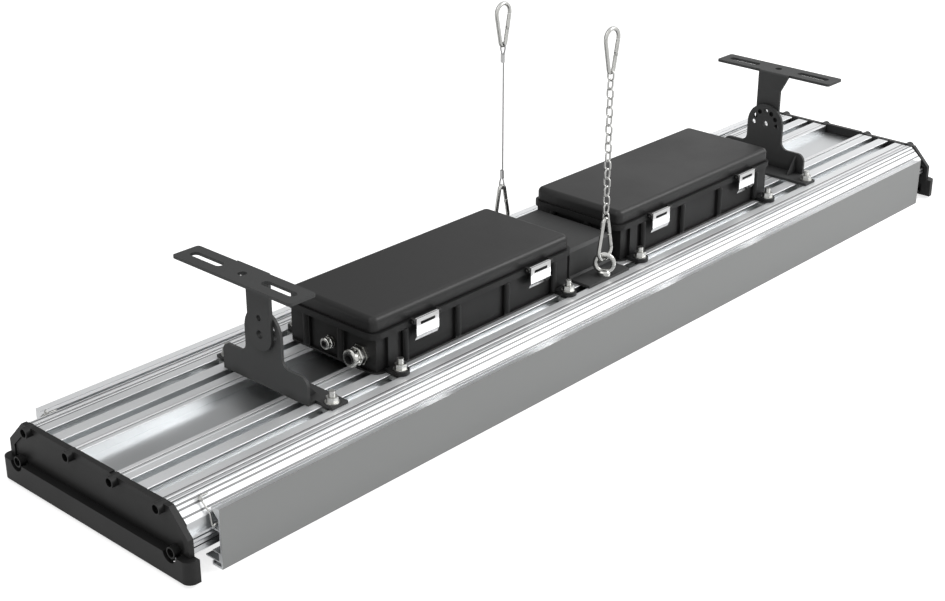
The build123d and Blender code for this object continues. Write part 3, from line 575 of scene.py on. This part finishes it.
def even_points(points, step):
    """The same line, divided into equal steps."""
    spans = [(b - a).length for a, b in zip(points[:-1], points[1:])]
    total = sum(spans)
    steps = max(2, round(total / step))
    made = []
    span = 0
    passed = 0.0
    for index in range(steps + 1):
        at = total * index / steps
        while span < len(spans) - 1 and passed + spans[span] < at:
            passed += spans[span]
            span += 1
        share = (at - passed) / spans[span] if spans[span] else 0
        made.append(points[span].lerp(points[span + 1], min(share, 1)))
    return made, total


def strand_points(line, step, radius, lay, turn):
    """One strand's line, wound round the rope's."""
    made = []
    for index, (normal, other) in enumerate(carried_axes(line, Vector((1, 0, 0)))):
        angle = turn + 2 * math.pi * index * step / lay
        made.append(line[index] + radius * (math.cos(angle) * normal + math.sin(angle) * other))
    return made


# Geometry node trees
def geometry_tree(name, inputs):
    """An empty tree, with the sockets that enter it and that leave it."""
    tree = bpy.data.node_groups.new(name, "GeometryNodeTree")
    tree.interface.new_socket("Geometry", in_out="INPUT", socket_type="NodeSocketGeometry")
    for label, kind, value in inputs:
        socket = tree.interface.new_socket(label, in_out="INPUT", socket_type="NodeSocket" + kind)
        socket.default_value = value
    tree.interface.new_socket("Material", in_out="INPUT", socket_type="NodeSocketMaterial")
    tree.interface.new_socket("Geometry", in_out="OUTPUT", socket_type="NodeSocketGeometry")
    return tree, node(tree, "NodeGroupInput").outputs, node(tree, "NodeGroupOutput").inputs


def sweep(tree, curve, radius, sides, more=None):
    """A round bar along a curve."""
    profile = node(tree, "GeometryNodeCurvePrimitiveCircle", {"Resolution": sides, "Radius": radius})
    values = {"Curve": curve, "Profile Curve": profile.outputs["Curve"], **(more or {})}
    return node(tree, "GeometryNodeCurveToMesh", values).outputs["Mesh"]


def points_up(tree, entry, label):
    """Points one pitch apart, from the start upwards."""
    step = node(tree, "ShaderNodeCombineXYZ", {"Z": entry["Pitch"]}).outputs["Vector"]
    values = {"Count": entry[label], "Start Location": entry["Start"], "Offset": step}
    return node(tree, "GeometryNodeMeshLine", values, mode="OFFSET").outputs["Mesh"]


def plant(tree, entry, leave, points, shape, turn=None):
    """Puts a shape on each point, as plain geometry in the tree's material."""
    values = {"Points": points, "Instance": shape}
    if turn is not None:
        values["Rotation"] = turn
    spread = node(tree, "GeometryNodeInstanceOnPoints", values).outputs["Instances"]
    real = node(tree, "GeometryNodeRealizeInstances", {"Geometry": spread}).outputs["Geometry"]
    clad = node(tree, "GeometryNodeSetMaterial", {"Geometry": real, "Material": entry["Material"]})
    feed(tree, leave, {"Geometry": clad.outputs["Geometry"]})


def grow(name, tree, values, places=()):
    """Runs a geometry node tree with these inputs and returns its result as a plain mesh object."""
    mesh = bpy.data.meshes.new(name)
    mesh.from_pydata([tuple(place) for place in places], [], [])
    piece = bpy.data.objects.new(name, mesh)
    bpy.context.scene.collection.objects.link(piece)
    modifier = piece.modifiers.new(name, "NODES")
    modifier.node_group = tree
    for item in tree.interface.items_tree:
        if item.in_out == "INPUT" and item.name in values:
            modifier[item.identifier] = values[item.name]
    bpy.context.view_layer.update()
    made = bpy.data.meshes.new_from_object(piece.evaluated_get(bpy.context.evaluated_depsgraph_get()))
    made.name = name
    piece.modifiers.clear()
    piece.data = made
    bpy.data.meshes.remove(mesh)
    return piece


def chain_tree():
    """Links of round wire, each a quarter turn from the next."""
    tree, entry, leave = geometry_tree("chain", [
        ("Count", "Int", 1), ("Wire", "Float", 0.001), ("Width", "Float", 0.007),
        ("Height", "Float", 0.01), ("Pitch", "Float", 0.009), ("Start", "Vector", (0, 0, 0)),
    ])
    size = {"Width": entry["Width"], "Height": entry["Height"]}
    outline = node(tree, "GeometryNodeCurvePrimitiveQuadrilateral", size).outputs["Curve"]
    bend = {"Curve": outline, "Radius": number(tree, "MULTIPLY", entry["Width"], FULL_BEND), "Count": 7}
    outline = node(tree, "GeometryNodeFilletCurve", bend, mode="POLY").outputs["Curve"]
    upright = {"Geometry": sweep(tree, outline, entry["Wire"], 12)}
    upright["Rotation"] = Euler((math.pi / 2, 0, math.pi / 2))
    shape = node(tree, "GeometryNodeTransform", upright).outputs["Geometry"]
    shape = node(tree, "GeometryNodeSetShadeSmooth", {"Geometry": shape}).outputs["Geometry"]
    odd = number(tree, "MODULO", node(tree, "GeometryNodeInputIndex").outputs["Index"], 2.0)
    turn = node(tree, "ShaderNodeCombineXYZ", {"Z": number(tree, "MULTIPLY", odd, math.pi / 2)})
    plant(tree, entry, leave, points_up(tree, entry, "Count"), shape, turn.outputs["Vector"])
    return tree


def column_tree():
    """Upright round bars with eased ends."""
    tree, entry, leave = geometry_tree("column", [
        ("Height", "Float", 0.03), ("Radius", "Float", 0.003), ("Ease", "Float", 0.001),
    ])
    top = node(tree, "ShaderNodeCombineXYZ", {"Z": entry["Height"]}).outputs["Vector"]
    line = node(tree, "GeometryNodeCurvePrimitiveLine", {"End": top}).outputs["Curve"]
    line = node(tree, "GeometryNodeResampleCurve", {"Curve": line, "Count": 33}).outputs["Curve"]
    along = node(tree, "GeometryNodeSplineParameter").outputs["Length"]
    nearest = number(tree, "MINIMUM", along, number(tree, "SUBTRACT", entry["Height"], along))
    share = number(tree, "DIVIDE", nearest, entry["Ease"], clamp=True)
    taper = number(tree, "MULTIPLY_ADD", number(tree, "SQRT", share), 1 - COLUMN_END, COLUMN_END)
    line = node(tree, "GeometryNodeSetCurveRadius", {"Curve": line, "Radius": taper}).outputs["Curve"]
    width = node(tree, "GeometryNodeInputRadius").outputs[0]
    shape = sweep(tree, line, entry["Radius"], 16, {"Fill Caps": True, "Scale": width})
    plant(tree, entry, leave, entry["Geometry"], shape)
    return tree


def thread_tree():
    """Rings of fine round section, one above the other."""
    tree, entry, leave = geometry_tree("thread", [
        ("Crests", "Int", 4), ("Pitch", "Float", 0.001), ("Radius", "Float", 0.003),
        ("Wire", "Float", 0.0003), ("Start", "Vector", (0, 0, 0)),
    ])
    ring = node(tree, "GeometryNodeCurvePrimitiveCircle", {"Resolution": 20, "Radius": entry["Radius"]})
    shape = sweep(tree, ring.outputs["Curve"], entry["Wire"], 5)
    plant(tree, entry, leave, points_up(tree, entry, "Crests"), shape)
    return tree


def island_boxes(mesh):
    """The box of each separate solid in a mesh."""
    bm = bmesh.new()
    bm.from_mesh(mesh)
    bmesh.ops.remove_doubles(bm, verts=bm.verts, dist=WELD)
    left = set(bm.verts)
    boxes = []
    while left:
        front = [left.pop()]
        low, high = front[0].co.copy(), front[0].co.copy()
        while front:
            vertex = front.pop()
            for axis in range(3):
                low[axis] = min(low[axis], vertex.co[axis])
                high[axis] = max(high[axis], vertex.co[axis])
            for edge in vertex.link_edges:
                other = edge.other_vert(vertex)
                if other in left:
                    left.remove(other)
                    front.append(other)
        boxes.append((low, high))
    bm.free()
    return sorted(boxes, key=lambda box: (box[0].x, box[0].y))


# Operators, one for each group of like pieces
class TUNNEL_OT_shared_skins(bpy.types.Operator):
    """Builds the shader node groups that the finishes share"""
    bl_idname = "tunnel_light.shared_skins"
    bl_label = "Shared skins"

    def execute(self, context):
        moulded_skin()
        drawn_lines()
        plated_spots()
        deck_bands()
        outer_face()
        turned_faces("cut_ends", "X", 0.9)
        turned_faces("lit_upper_faces", "Z", 0.5)
        hollow_shade()
        return {"FINISHED"}


class TUNNEL_OT_heatsink(bpy.types.Operator):
    """Eases the long edges of the heatsink extrusion and finishes it and the side panels"""
    bl_idname = "tunnel_light.heatsink"
    bl_label = "Heatsink and side panels"

    def execute(self, context):
        colours = context.scene.tunnel_metals
        sizes = context.scene.tunnel_edges
        drawn = {"skin": "drawn_lines", "spread": 0.03, "bump": 0.004, "metallic": 1.0, "shade": 0.96}
        bright = finish("bright_extrusion", colours.heatsink, roughness=0.31, **drawn)
        # The lands get a rougher brushed finish, and a lighter, less metallic colour that is a painted
        # highlight on the extrusion's top faces.
        face_finish(bright, "deck_bands", colours.land, roughness=0.46, metallic=0.65)
        draw_lines(bright, "deck_bands", 0.25)
        satin = finish("satin_extrusion", colours.heatsink, roughness=0.34, **drawn)
        # Painted highlight: the panels' upward faces get the lighter lands colour, as light from above would
        # show them.
        face_finish(satin, "lit_upper_faces", colours.land, roughness=0.40)
        face_finish(satin, "cut_ends", colours.land, roughness=0.50)
        face_finish(satin, "outer_face", colours.panel, roughness=0.34)
        dress(["side_panel_front", "side_panel_back"], satin)
        bm = bmesh.new()
        bm.from_mesh(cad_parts["heatsink"].data)
        bmesh.ops.remove_doubles(bm, verts=bm.verts, dist=WELD)
        bmesh.ops.dissolve_limit(bm, angle_limit=math.radians(1), verts=bm.verts, edges=bm.edges)
        self.ease(bm, sizes.wide_face, math.inf, sizes.wide_radius)
        self.ease(bm, sizes.narrow_face, sizes.wide_face, sizes.narrow_radius)
        bmesh.ops.triangulate(bm, faces=[face for face in bm.faces if len(face.verts) > 4])
        mesh_piece("heatsink_extrusion", bm, bright, replaced=["heatsink"], smooth=False)
        return {"FINISHED"}

    def ease(self, bm, narrowest, widest, radius):
        """Rounds the long upper edges between faces of at least this width."""
        chosen = []
        for edge in bm.edges:
            span = edge.verts[1].co - edge.verts[0].co
            low = min(vertex.co.z for vertex in edge.verts)
            if abs(span.x) < LONG_EDGE or low < DECK_HEIGHT - UPPER_EDGES or not edge.is_convex:
                continue
            width = min(face.calc_area() / abs(span.x) for face in edge.link_faces)
            if edge.calc_face_angle() > math.radians(25) and narrowest <= width < widest:
                chosen.append(edge)
        bmesh.ops.bevel(
            bm, geom=chosen, offset=radius, segments=3, profile=0.5, affect="EDGES", clamp_overlap=False,
        )


class TUNNEL_OT_mouldings(bpy.types.Operator):
    """Finishes the black end caps, driver boxes, lids, brackets and seals"""
    bl_idname = "tunnel_light.mouldings"
    bl_label = "Mouldings, brackets and seals"

    def execute(self, context):
        colours = context.scene.tunnel_darks
        skin = "moulded_skin"
        cap = finish("cap_moulding", colours.cap, skin, roughness=0.42, spread=0.06, bump=0.12, gloss=0.3)
        base = finish("box_moulding", colours.box, skin, roughness=0.52, spread=0.06, bump=0.10, gloss=0.3)
        lid = finish("lid_moulding", colours.lid, skin, roughness=0.40, spread=0.05, bump=0.10, gloss=0.35)
        coat = finish(
            "powder_coat", colours.bracket, skin, roughness=0.55, spread=0.05, bump=0.25, gloss=0.3,
            marks={"Grain": 1500.0},
        )
        rubber = finish(
            "seal_rubber", colours.rubber, skin, roughness=0.70, spread=0.08, bump=0.20, sheen=0.1,
        )
        # Painted shade: the caps, boxes, lids and brackets are darkened in their corners and recesses by
        # ambient occlusion.
        for material in (cap, base, lid, coat):
            paint_hollow_shade(material, reach=0.010, power=1.3)
        dress(["end_cap_left", "end_cap_right"], cap)
        dress(["box_base_left", "box_base_right"], base)
        dress(["box_lid_left", "box_lid_right"], lid)
        dress(["hanger_bracket", "bracket_base_left", "bracket_base_right"], coat)
        dress(["bracket_arm_left", "bracket_arm_right"], coat)
        dress(["end_cap_seal_left", "end_cap_seal_right", "box_gasket_left", "box_gasket_right"], rubber)
        dress(["gland_small_seal", "gland_large_seal", "glass_seal"], rubber)
        return {"FINISHED"}


class TUNNEL_OT_box_ribs(bpy.types.Operator):
    """Grows the round fronts of the driver boxes' ribs"""
    bl_idname = "tunnel_light.box_ribs"
    bl_label = "Rib fronts"

    def execute(self, context):
        sizes = context.scene.tunnel_ribs
        across = sizes.half_width - sizes.inset
        end = sizes.half_length - sizes.inset
        places = []
        for name in ("box_base_left", "box_base_right"):
            low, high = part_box(name)
            middle = (low.x + high.x) / 2
            for part in sizes.long_side:
                for side in (-1, 1):
                    places.append((middle + part * sizes.half_length, side * across, sizes.foot))
            for y in sizes.end_side:
                for side in (-1, 1):
                    places.append((middle + side * end, y, sizes.foot))
        ribs = grow("box_ribs", column_tree(), {
            "Height": sizes.top - sizes.foot, "Radius": sizes.radius, "Ease": sizes.ease,
            "Material": bpy.data.materials["box_moulding"],
        }, places)
        settle(ribs)
        return {"FINISHED"}


class TUNNEL_OT_hardware(bpy.types.Operator):
    """Finishes the latches, hooks, glands, clips and fasteners"""
    bl_idname = "tunnel_light.hardware"
    bl_label = "Hardware"

    def execute(self, context):
        colours = context.scene.tunnel_metals
        latch = finish(
            "latch_brushing", colours.latch, "drawn_lines", roughness=0.10, spread=0.02, bump=0.003,
            metallic=0.9, shade=0.98, marks={"Across": 1500.0},
        )
        plated = {"skin": "plated_spots", "metallic": 1.0}
        hook = finish("hook_plating", colours.hook, roughness=0.20, spread=0.06, bump=0.08, **plated)
        bolt = finish("bolt_plating", colours.bolt, roughness=0.30, spread=0.07, bump=0.12, **plated)
        nickel = finish("gland_nickel", colours.nickel, roughness=0.24, spread=0.05, bump=0.06, **plated)
        ferrule = finish(
            "pressed_sleeve", colours.ferrule, "plated_spots", roughness=0.35, spread=0.03, bump=0.02,
            metallic=0.9, shade=0.98,
        )
        dress(["latch_left_1", "latch_left_2", "latch_right_1", "latch_right_2"], latch)
        dress(["hook_chain_top", "hook_chain_bottom", "hook_rope_top", "hook_rope_bottom"], hook)
        dress(["gate_chain_top", "gate_chain_bottom", "gate_rope_top", "gate_rope_bottom"], hook)
        dress(["eye_nut_front", "eye_nut_back", "gate_rivets"], hook)
        dress(["t_bolts", "flange_nuts", "end_cap_screws", "driver_screws"], bolt)
        dress(["latch_pins", "lid_hinge_pins", "panel_clips"], bolt)
        dress(["gland_small_body", "gland_small_cap", "gland_small_locknut"], nickel)
        dress(["gland_large_body", "gland_large_cap", "gland_large_locknut"], nickel)
        dress(["rope_ferrules"], ferrule)
        return {"FINISHED"}


class TUNNEL_OT_glands(bpy.types.Operator):
    """Turns the cable glands' caps, with their hexagon, claws and rounded mouth"""
    bl_idname = "tunnel_light.glands"
    bl_label = "Gland caps"

    def execute(self, context):
        sizes = context.scene.tunnel_glands
        for node_name in ("gland_small_cap", "gland_large_cap"):
            low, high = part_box(node_name)
            bm = bmesh.new()
            self.turn(bm, low, high, sizes)
            metal = bpy.data.materials["gland_nickel"]
            mesh_piece(node_name + "_turned", bm, metal, replaced=[node_name], smooth=False)
        return {"FINISHED"}

    def turn(self, bm, low, high, sizes):
        """Joins rings, each given by its share of the cap's length and radius, and its shape."""
        middle = (low + high) / 2
        reach = high.x - low.x
        radius = (high.y - low.y) / 2
        hexagon, claw, bore = sizes.hexagon, sizes.claw, sizes.bore
        outside = [
            (0.00, hexagon - 0.04, "hex"), (0.05, hexagon, "hex"), (0.33, hexagon, "hex"),
            (0.41, hexagon - 0.09, "hex"), (0.43, claw, "round"), (0.46, claw, "claw"),
            (0.62, claw, "claw"), (0.64, 0.90, "round"), (0.70, 0.97, "round"),
            (0.86, 0.97, "round"), (0.95, 0.90, "round"), (1.00, 0.78, "round"),
            (1.00, bore + 0.04, "round"), (0.97, bore, "round"), (0.00, bore, "round"),
        ]
        rings = []
        for share, part, shape in outside:
            ring = []
            for side in range(sizes.sides):
                angle = 2 * math.pi * side / sizes.sides
                size = part
                if shape == "hex":
                    size = min(part / math.cos((angle % (math.pi / 3)) - math.pi / 6), 1.0)
                if shape == "claw" and (side * CLAWS * 2 // sizes.sides) % 2:
                    size = part + CLAW_RISE
                y = middle.y + radius * size * math.cos(angle)
                z = middle.z + radius * size * math.sin(angle)
                ring.append(bm.verts.new((high.x - share * reach, y, z)))
            rings.append(ring)
        for index, ring in enumerate(rings):
            following = rings[(index + 1) % len(rings)]
            for side in range(sizes.sides):
                after = (side + 1) % sizes.sides
                bm.faces.new((ring[side], following[side], following[after], ring[after]))
        bmesh.ops.recalc_face_normals(bm, faces=bm.faces)


class TUNNEL_OT_clip_eyes(bpy.types.Operator):
    """Bends the small eyes at the top of the panel clips"""
    bl_idname = "tunnel_light.clip_eyes"
    bl_label = "Clip eyes"

    def execute(self, context):
        sizes = context.scene.tunnel_clips
        low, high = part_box("panel_clips")
        bm = bmesh.new()
        for side in (-1, 1):
            points = []
            for step in range(EYE_STEPS - 1):
                angle = math.pi / 4 + 2 * math.pi * step / EYE_STEPS
                across = sizes.eye_y + sizes.eye * math.cos(angle)
                height = high.z - sizes.wire + sizes.eye * math.sin(angle)
                points.append(Vector((low.x + sizes.wire, side * across, height)))
            tube_rings(bm, points, sizes.wire, 10)
        bmesh.ops.recalc_face_normals(bm, faces=bm.faces)
        mesh_piece("clip_eyes", bm, bpy.data.materials["bolt_plating"])
        return {"FINISHED"}


class TUNNEL_OT_stud_threads(bpy.types.Operator):
    """Grows the thread crests on the studs above their nuts"""
    bl_idname = "tunnel_light.stud_threads"
    bl_label = "Stud threads"

    def execute(self, context):
        sizes = context.scene.tunnel_threads
        tree = thread_tree()
        metal = bpy.data.materials["bolt_plating"]
        values = {
            "Crests": sizes.crests, "Pitch": sizes.pitch, "Radius": sizes.radius, "Wire": sizes.wire,
            "Material": metal,
        }
        bm = bmesh.new()
        for low, high in island_boxes(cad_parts["t_bolts"].data):
            foot = high.z - sizes.crests * sizes.pitch
            start = Vector(((low.x + high.x) / 2, (low.y + high.y) / 2, foot))
            grown = grow("stud_thread", tree, {**values, "Start": start})
            bm.from_mesh(grown.data)
            bpy.data.objects.remove(grown)
        mesh_piece("stud_threads", bm, metal)
        return {"FINISHED"}


class TUNNEL_OT_light_engine(bpy.types.Operator):
    """Finishes the boards, emitters, cover glass and drivers"""
    bl_idname = "tunnel_light.light_engine"
    bl_label = "Light engine"

    def execute(self, context):
        colours = context.scene.tunnel_engine
        soft = {"skin": "moulded_skin", "spread": 0.05}
        board = finish("board_mask", colours.board, roughness=0.45, bump=0.05, shade=0.96, **soft)
        chip = finish("emitter_phosphor", colours.chip, roughness=0.50, bump=0.10, shade=0.8, **soft)
        case = finish(
            "case_paint", colours.case, roughness=0.40, bump=0.02, metallic=0.3, shade=0.98, **soft,
        )
        dress(["led_board_left", "led_board_middle", "led_board_right"], board)
        dress(["led_chips"], chip)
        dress(["driver_left", "driver_right"], case)
        dress(["glass_cover"], cover_glass(colours.glass))
        return {"FINISHED"}


class TUNNEL_OT_chain(bpy.types.Operator):
    """Grows the chain's links"""
    bl_idname = "tunnel_light.chain"
    bl_label = "Chain"

    def execute(self, context):
        sizes = context.scene.tunnel_chain
        colours = context.scene.tunnel_metals
        metal = finish(
            "chain_zinc", colours.chain, "plated_spots", roughness=0.26, spread=0.06, bump=0.10, metallic=1.0,
        )
        start = Vector((CHAIN_MIDDLE.x, CHAIN_MIDDLE.y, CHAIN_LOW.z + sizes.wire + sizes.height / 2))
        chain = grow("chain", chain_tree(), {
            "Count": sizes.links, "Wire": sizes.wire, "Width": sizes.width, "Height": sizes.height,
            "Pitch": sizes.pitch, "Start": start, "Material": metal,
        })
        settle(chain, replaced=["chain_links"])
        return {"FINISHED"}


class TUNNEL_OT_wire_rope(bpy.types.Operator):
    """Lays the stranded wire rope between its two hooks"""
    bl_idname = "tunnel_light.wire_rope"
    bl_label = "Wire rope"

    def execute(self, context):
        sizes = context.scene.tunnel_rope
        colours = context.scene.tunnel_metals
        metal = finish(
            "strand_steel", colours.rope, "plated_spots", roughness=0.40, spread=0.03, bump=0.02,
            metallic=0.9, shade=0.98,
        )
        line, total = even_points(smooth_line(rope_route(sizes)), sizes.width / 2)
        step = total / (len(line) - 1)
        strand = sizes.width / 6
        bm = bmesh.new()
        tube_rings(bm, line, strand * 1.02, 6)
        for index in range(sizes.strands):
            turn = 2 * math.pi * index / sizes.strands
            tube_rings(bm, strand_points(line, step, strand * 2, sizes.lay, turn), strand, 6)
        rope = mesh_piece("wire_rope_strands", bm, metal, replaced=["wire_rope"])
        return {"FINISHED"}


class TUNNEL_OT_stage(bpy.types.Operator):
    """Sets the floor, the lights and the camera"""
    bl_idname = "tunnel_light.stage"
    bl_label = "Stage"

    def execute(self, context):
        sizes = context.scene.tunnel_stage
        self.set_floor(sizes)
        self.set_world(sizes)
        self.set_lamp("key_light", KEY_PLACE, width=1.6, power=sizes.key)
        self.set_lamp("fill_light", FILL_PLACE, width=2.0, power=sizes.fill)
        self.set_camera(context, sizes)
        context.scene.view_settings.view_transform = "Standard"
        return {"FINISHED"}

    def set_camera(self, context, sizes):
        data = bpy.data.cameras.new("camera")
        data.sensor_fit = "HORIZONTAL"
        data.sensor_width = 36.0
        data.lens = sizes.lens
        data.clip_end = 60.0
        camera = bpy.data.objects.new("camera", data)
        camera.location = CAMERA_PLACE
        camera.rotation_euler = CAMERA_TURN
        context.scene.collection.objects.link(camera)
        context.scene.camera = camera

    def set_lamp(self, name, place, width, power):
        data = bpy.data.lights.new(name, "AREA")
        data.shape = "DISK"
        data.size = width
        data.energy = power
        lamp = bpy.data.objects.new(name, data)
        lamp.location = place
        lamp.rotation_euler = (-Vector(place)).to_track_quat("-Z", "Y").to_euler()
        bpy.context.scene.collection.objects.link(lamp)

    def set_floor(self, sizes):
        half = sizes.floor / 2
        bm = bmesh.new()
        corners = ((-half, -half), (half, -half), (half, half), (-half, half))
        bm.faces.new([bm.verts.new((x, y, FLOOR_HEIGHT)) for x, y in corners])
        mesh = bpy.data.meshes.new("floor")
        bm.to_mesh(mesh)
        bm.free()
        floor = bpy.data.objects.new("floor", mesh)
        bpy.context.scene.collection.objects.link(floor)
        material, tree, shader = new_material("floor_white")
        white = (0.80, 0.80, 0.80, 1)
        feed(tree, shader, {"Base Color": white, "Roughness": 0.9, "Specular IOR Level": 0.0})
        rays = node(tree, "ShaderNodeLightPath").outputs
        seen = number(tree, "MULTIPLY", rays["Is Camera Ray"], FLOOR_SEEN)
        strength = number(tree, "MULTIPLY_ADD", rays["Is Glossy Ray"], FLOOR_MIRRORED, seen)
        glow = node(tree, "ShaderNodeEmission", {"Strength": strength}).outputs[0]
        lit = tree.nodes["Principled BSDF"].outputs[0]
        both = node(tree, "ShaderNodeAddShader", {0: lit, 1: glow}).outputs[0]
        feed(tree, tree.nodes["Material Output"].inputs, {"Surface": both})
        mesh.materials.append(material)

    def set_world(self, sizes):
        world = bpy.data.worlds.new("studio")
        bpy.context.scene.world = world
        world.use_nodes = True
        tree = world.node_tree
        rays = node(tree, "ShaderNodeLightPath").outputs
        level = ramp(tree, rays["Is Glossy Ray"], 0.0, 1.0, sizes.sky, 1.0)
        deep = axes(tree, coordinates(tree, "Generated"))["Y"]
        room = ramp(tree, deep, *ROOM_FADE, 1.0, sizes.back, kind="SMOOTHSTEP")
        light = number(tree, "MULTIPLY", level, room)
        strength = mix_number(tree, rays["Is Camera Ray"], light, 1.0)
        feed(tree, tree.nodes["Background"].inputs, {"Color": (1, 1, 1, 1), "Strength": strength})


OPERATORS = (
    TUNNEL_OT_shared_skins,
    TUNNEL_OT_heatsink,
    TUNNEL_OT_mouldings,
    TUNNEL_OT_box_ribs,
    TUNNEL_OT_hardware,
    TUNNEL_OT_glands,
    TUNNEL_OT_clip_eyes,
    TUNNEL_OT_stud_threads,
    TUNNEL_OT_light_engine,
    TUNNEL_OT_chain,
    TUNNEL_OT_wire_rope,
    TUNNEL_OT_stage,
)


class TUNNEL_PT_panel(bpy.types.Panel):
    """Lists the operators in the 3D view's sidebar"""
    bl_idname = "TUNNEL_PT_panel"
    bl_label = "Tunnel Light"
    bl_space_type = "VIEW_3D"
    bl_region_type = "UI"
    bl_category = "Tunnel Light"

    def draw(self, context):
        for operator in OPERATORS:
            self.layout.operator(operator.bl_idname)


SETTINGS = {
    "tunnel_metals": MetalColours,
    "tunnel_darks": DarkColours,
    "tunnel_engine": LightEngineColours,
    "tunnel_rope": RopeSizes,
    "tunnel_chain": ChainSizes,
    "tunnel_edges": EdgeSizes,
    "tunnel_ribs": RibSizes,
    "tunnel_glands": GlandSizes,
    "tunnel_clips": ClipSizes,
    "tunnel_threads": ThreadSizes,
    "tunnel_stage": StageSizes,
}


def register():
    for name, group in SETTINGS.items():
        bpy.utils.register_class(group)
        setattr(bpy.types.Scene, name, PointerProperty(type=group))
    for operator in OPERATORS:
        bpy.utils.register_class(operator)
    bpy.utils.register_class(TUNNEL_PT_panel)


def unregister():
    bpy.utils.unregister_class(TUNNEL_PT_panel)
    for operator in reversed(OPERATORS):
        bpy.utils.unregister_class(operator)
    for name, group in reversed(list(SETTINGS.items())):
        delattr(bpy.types.Scene, name)
        bpy.utils.unregister_class(group)


def main():
    register()
    for operator in OPERATORS:
        category, call = operator.bl_idname.split(".")
        getattr(getattr(bpy.ops, category), call)()


if __name__ == "__main__":
    main()
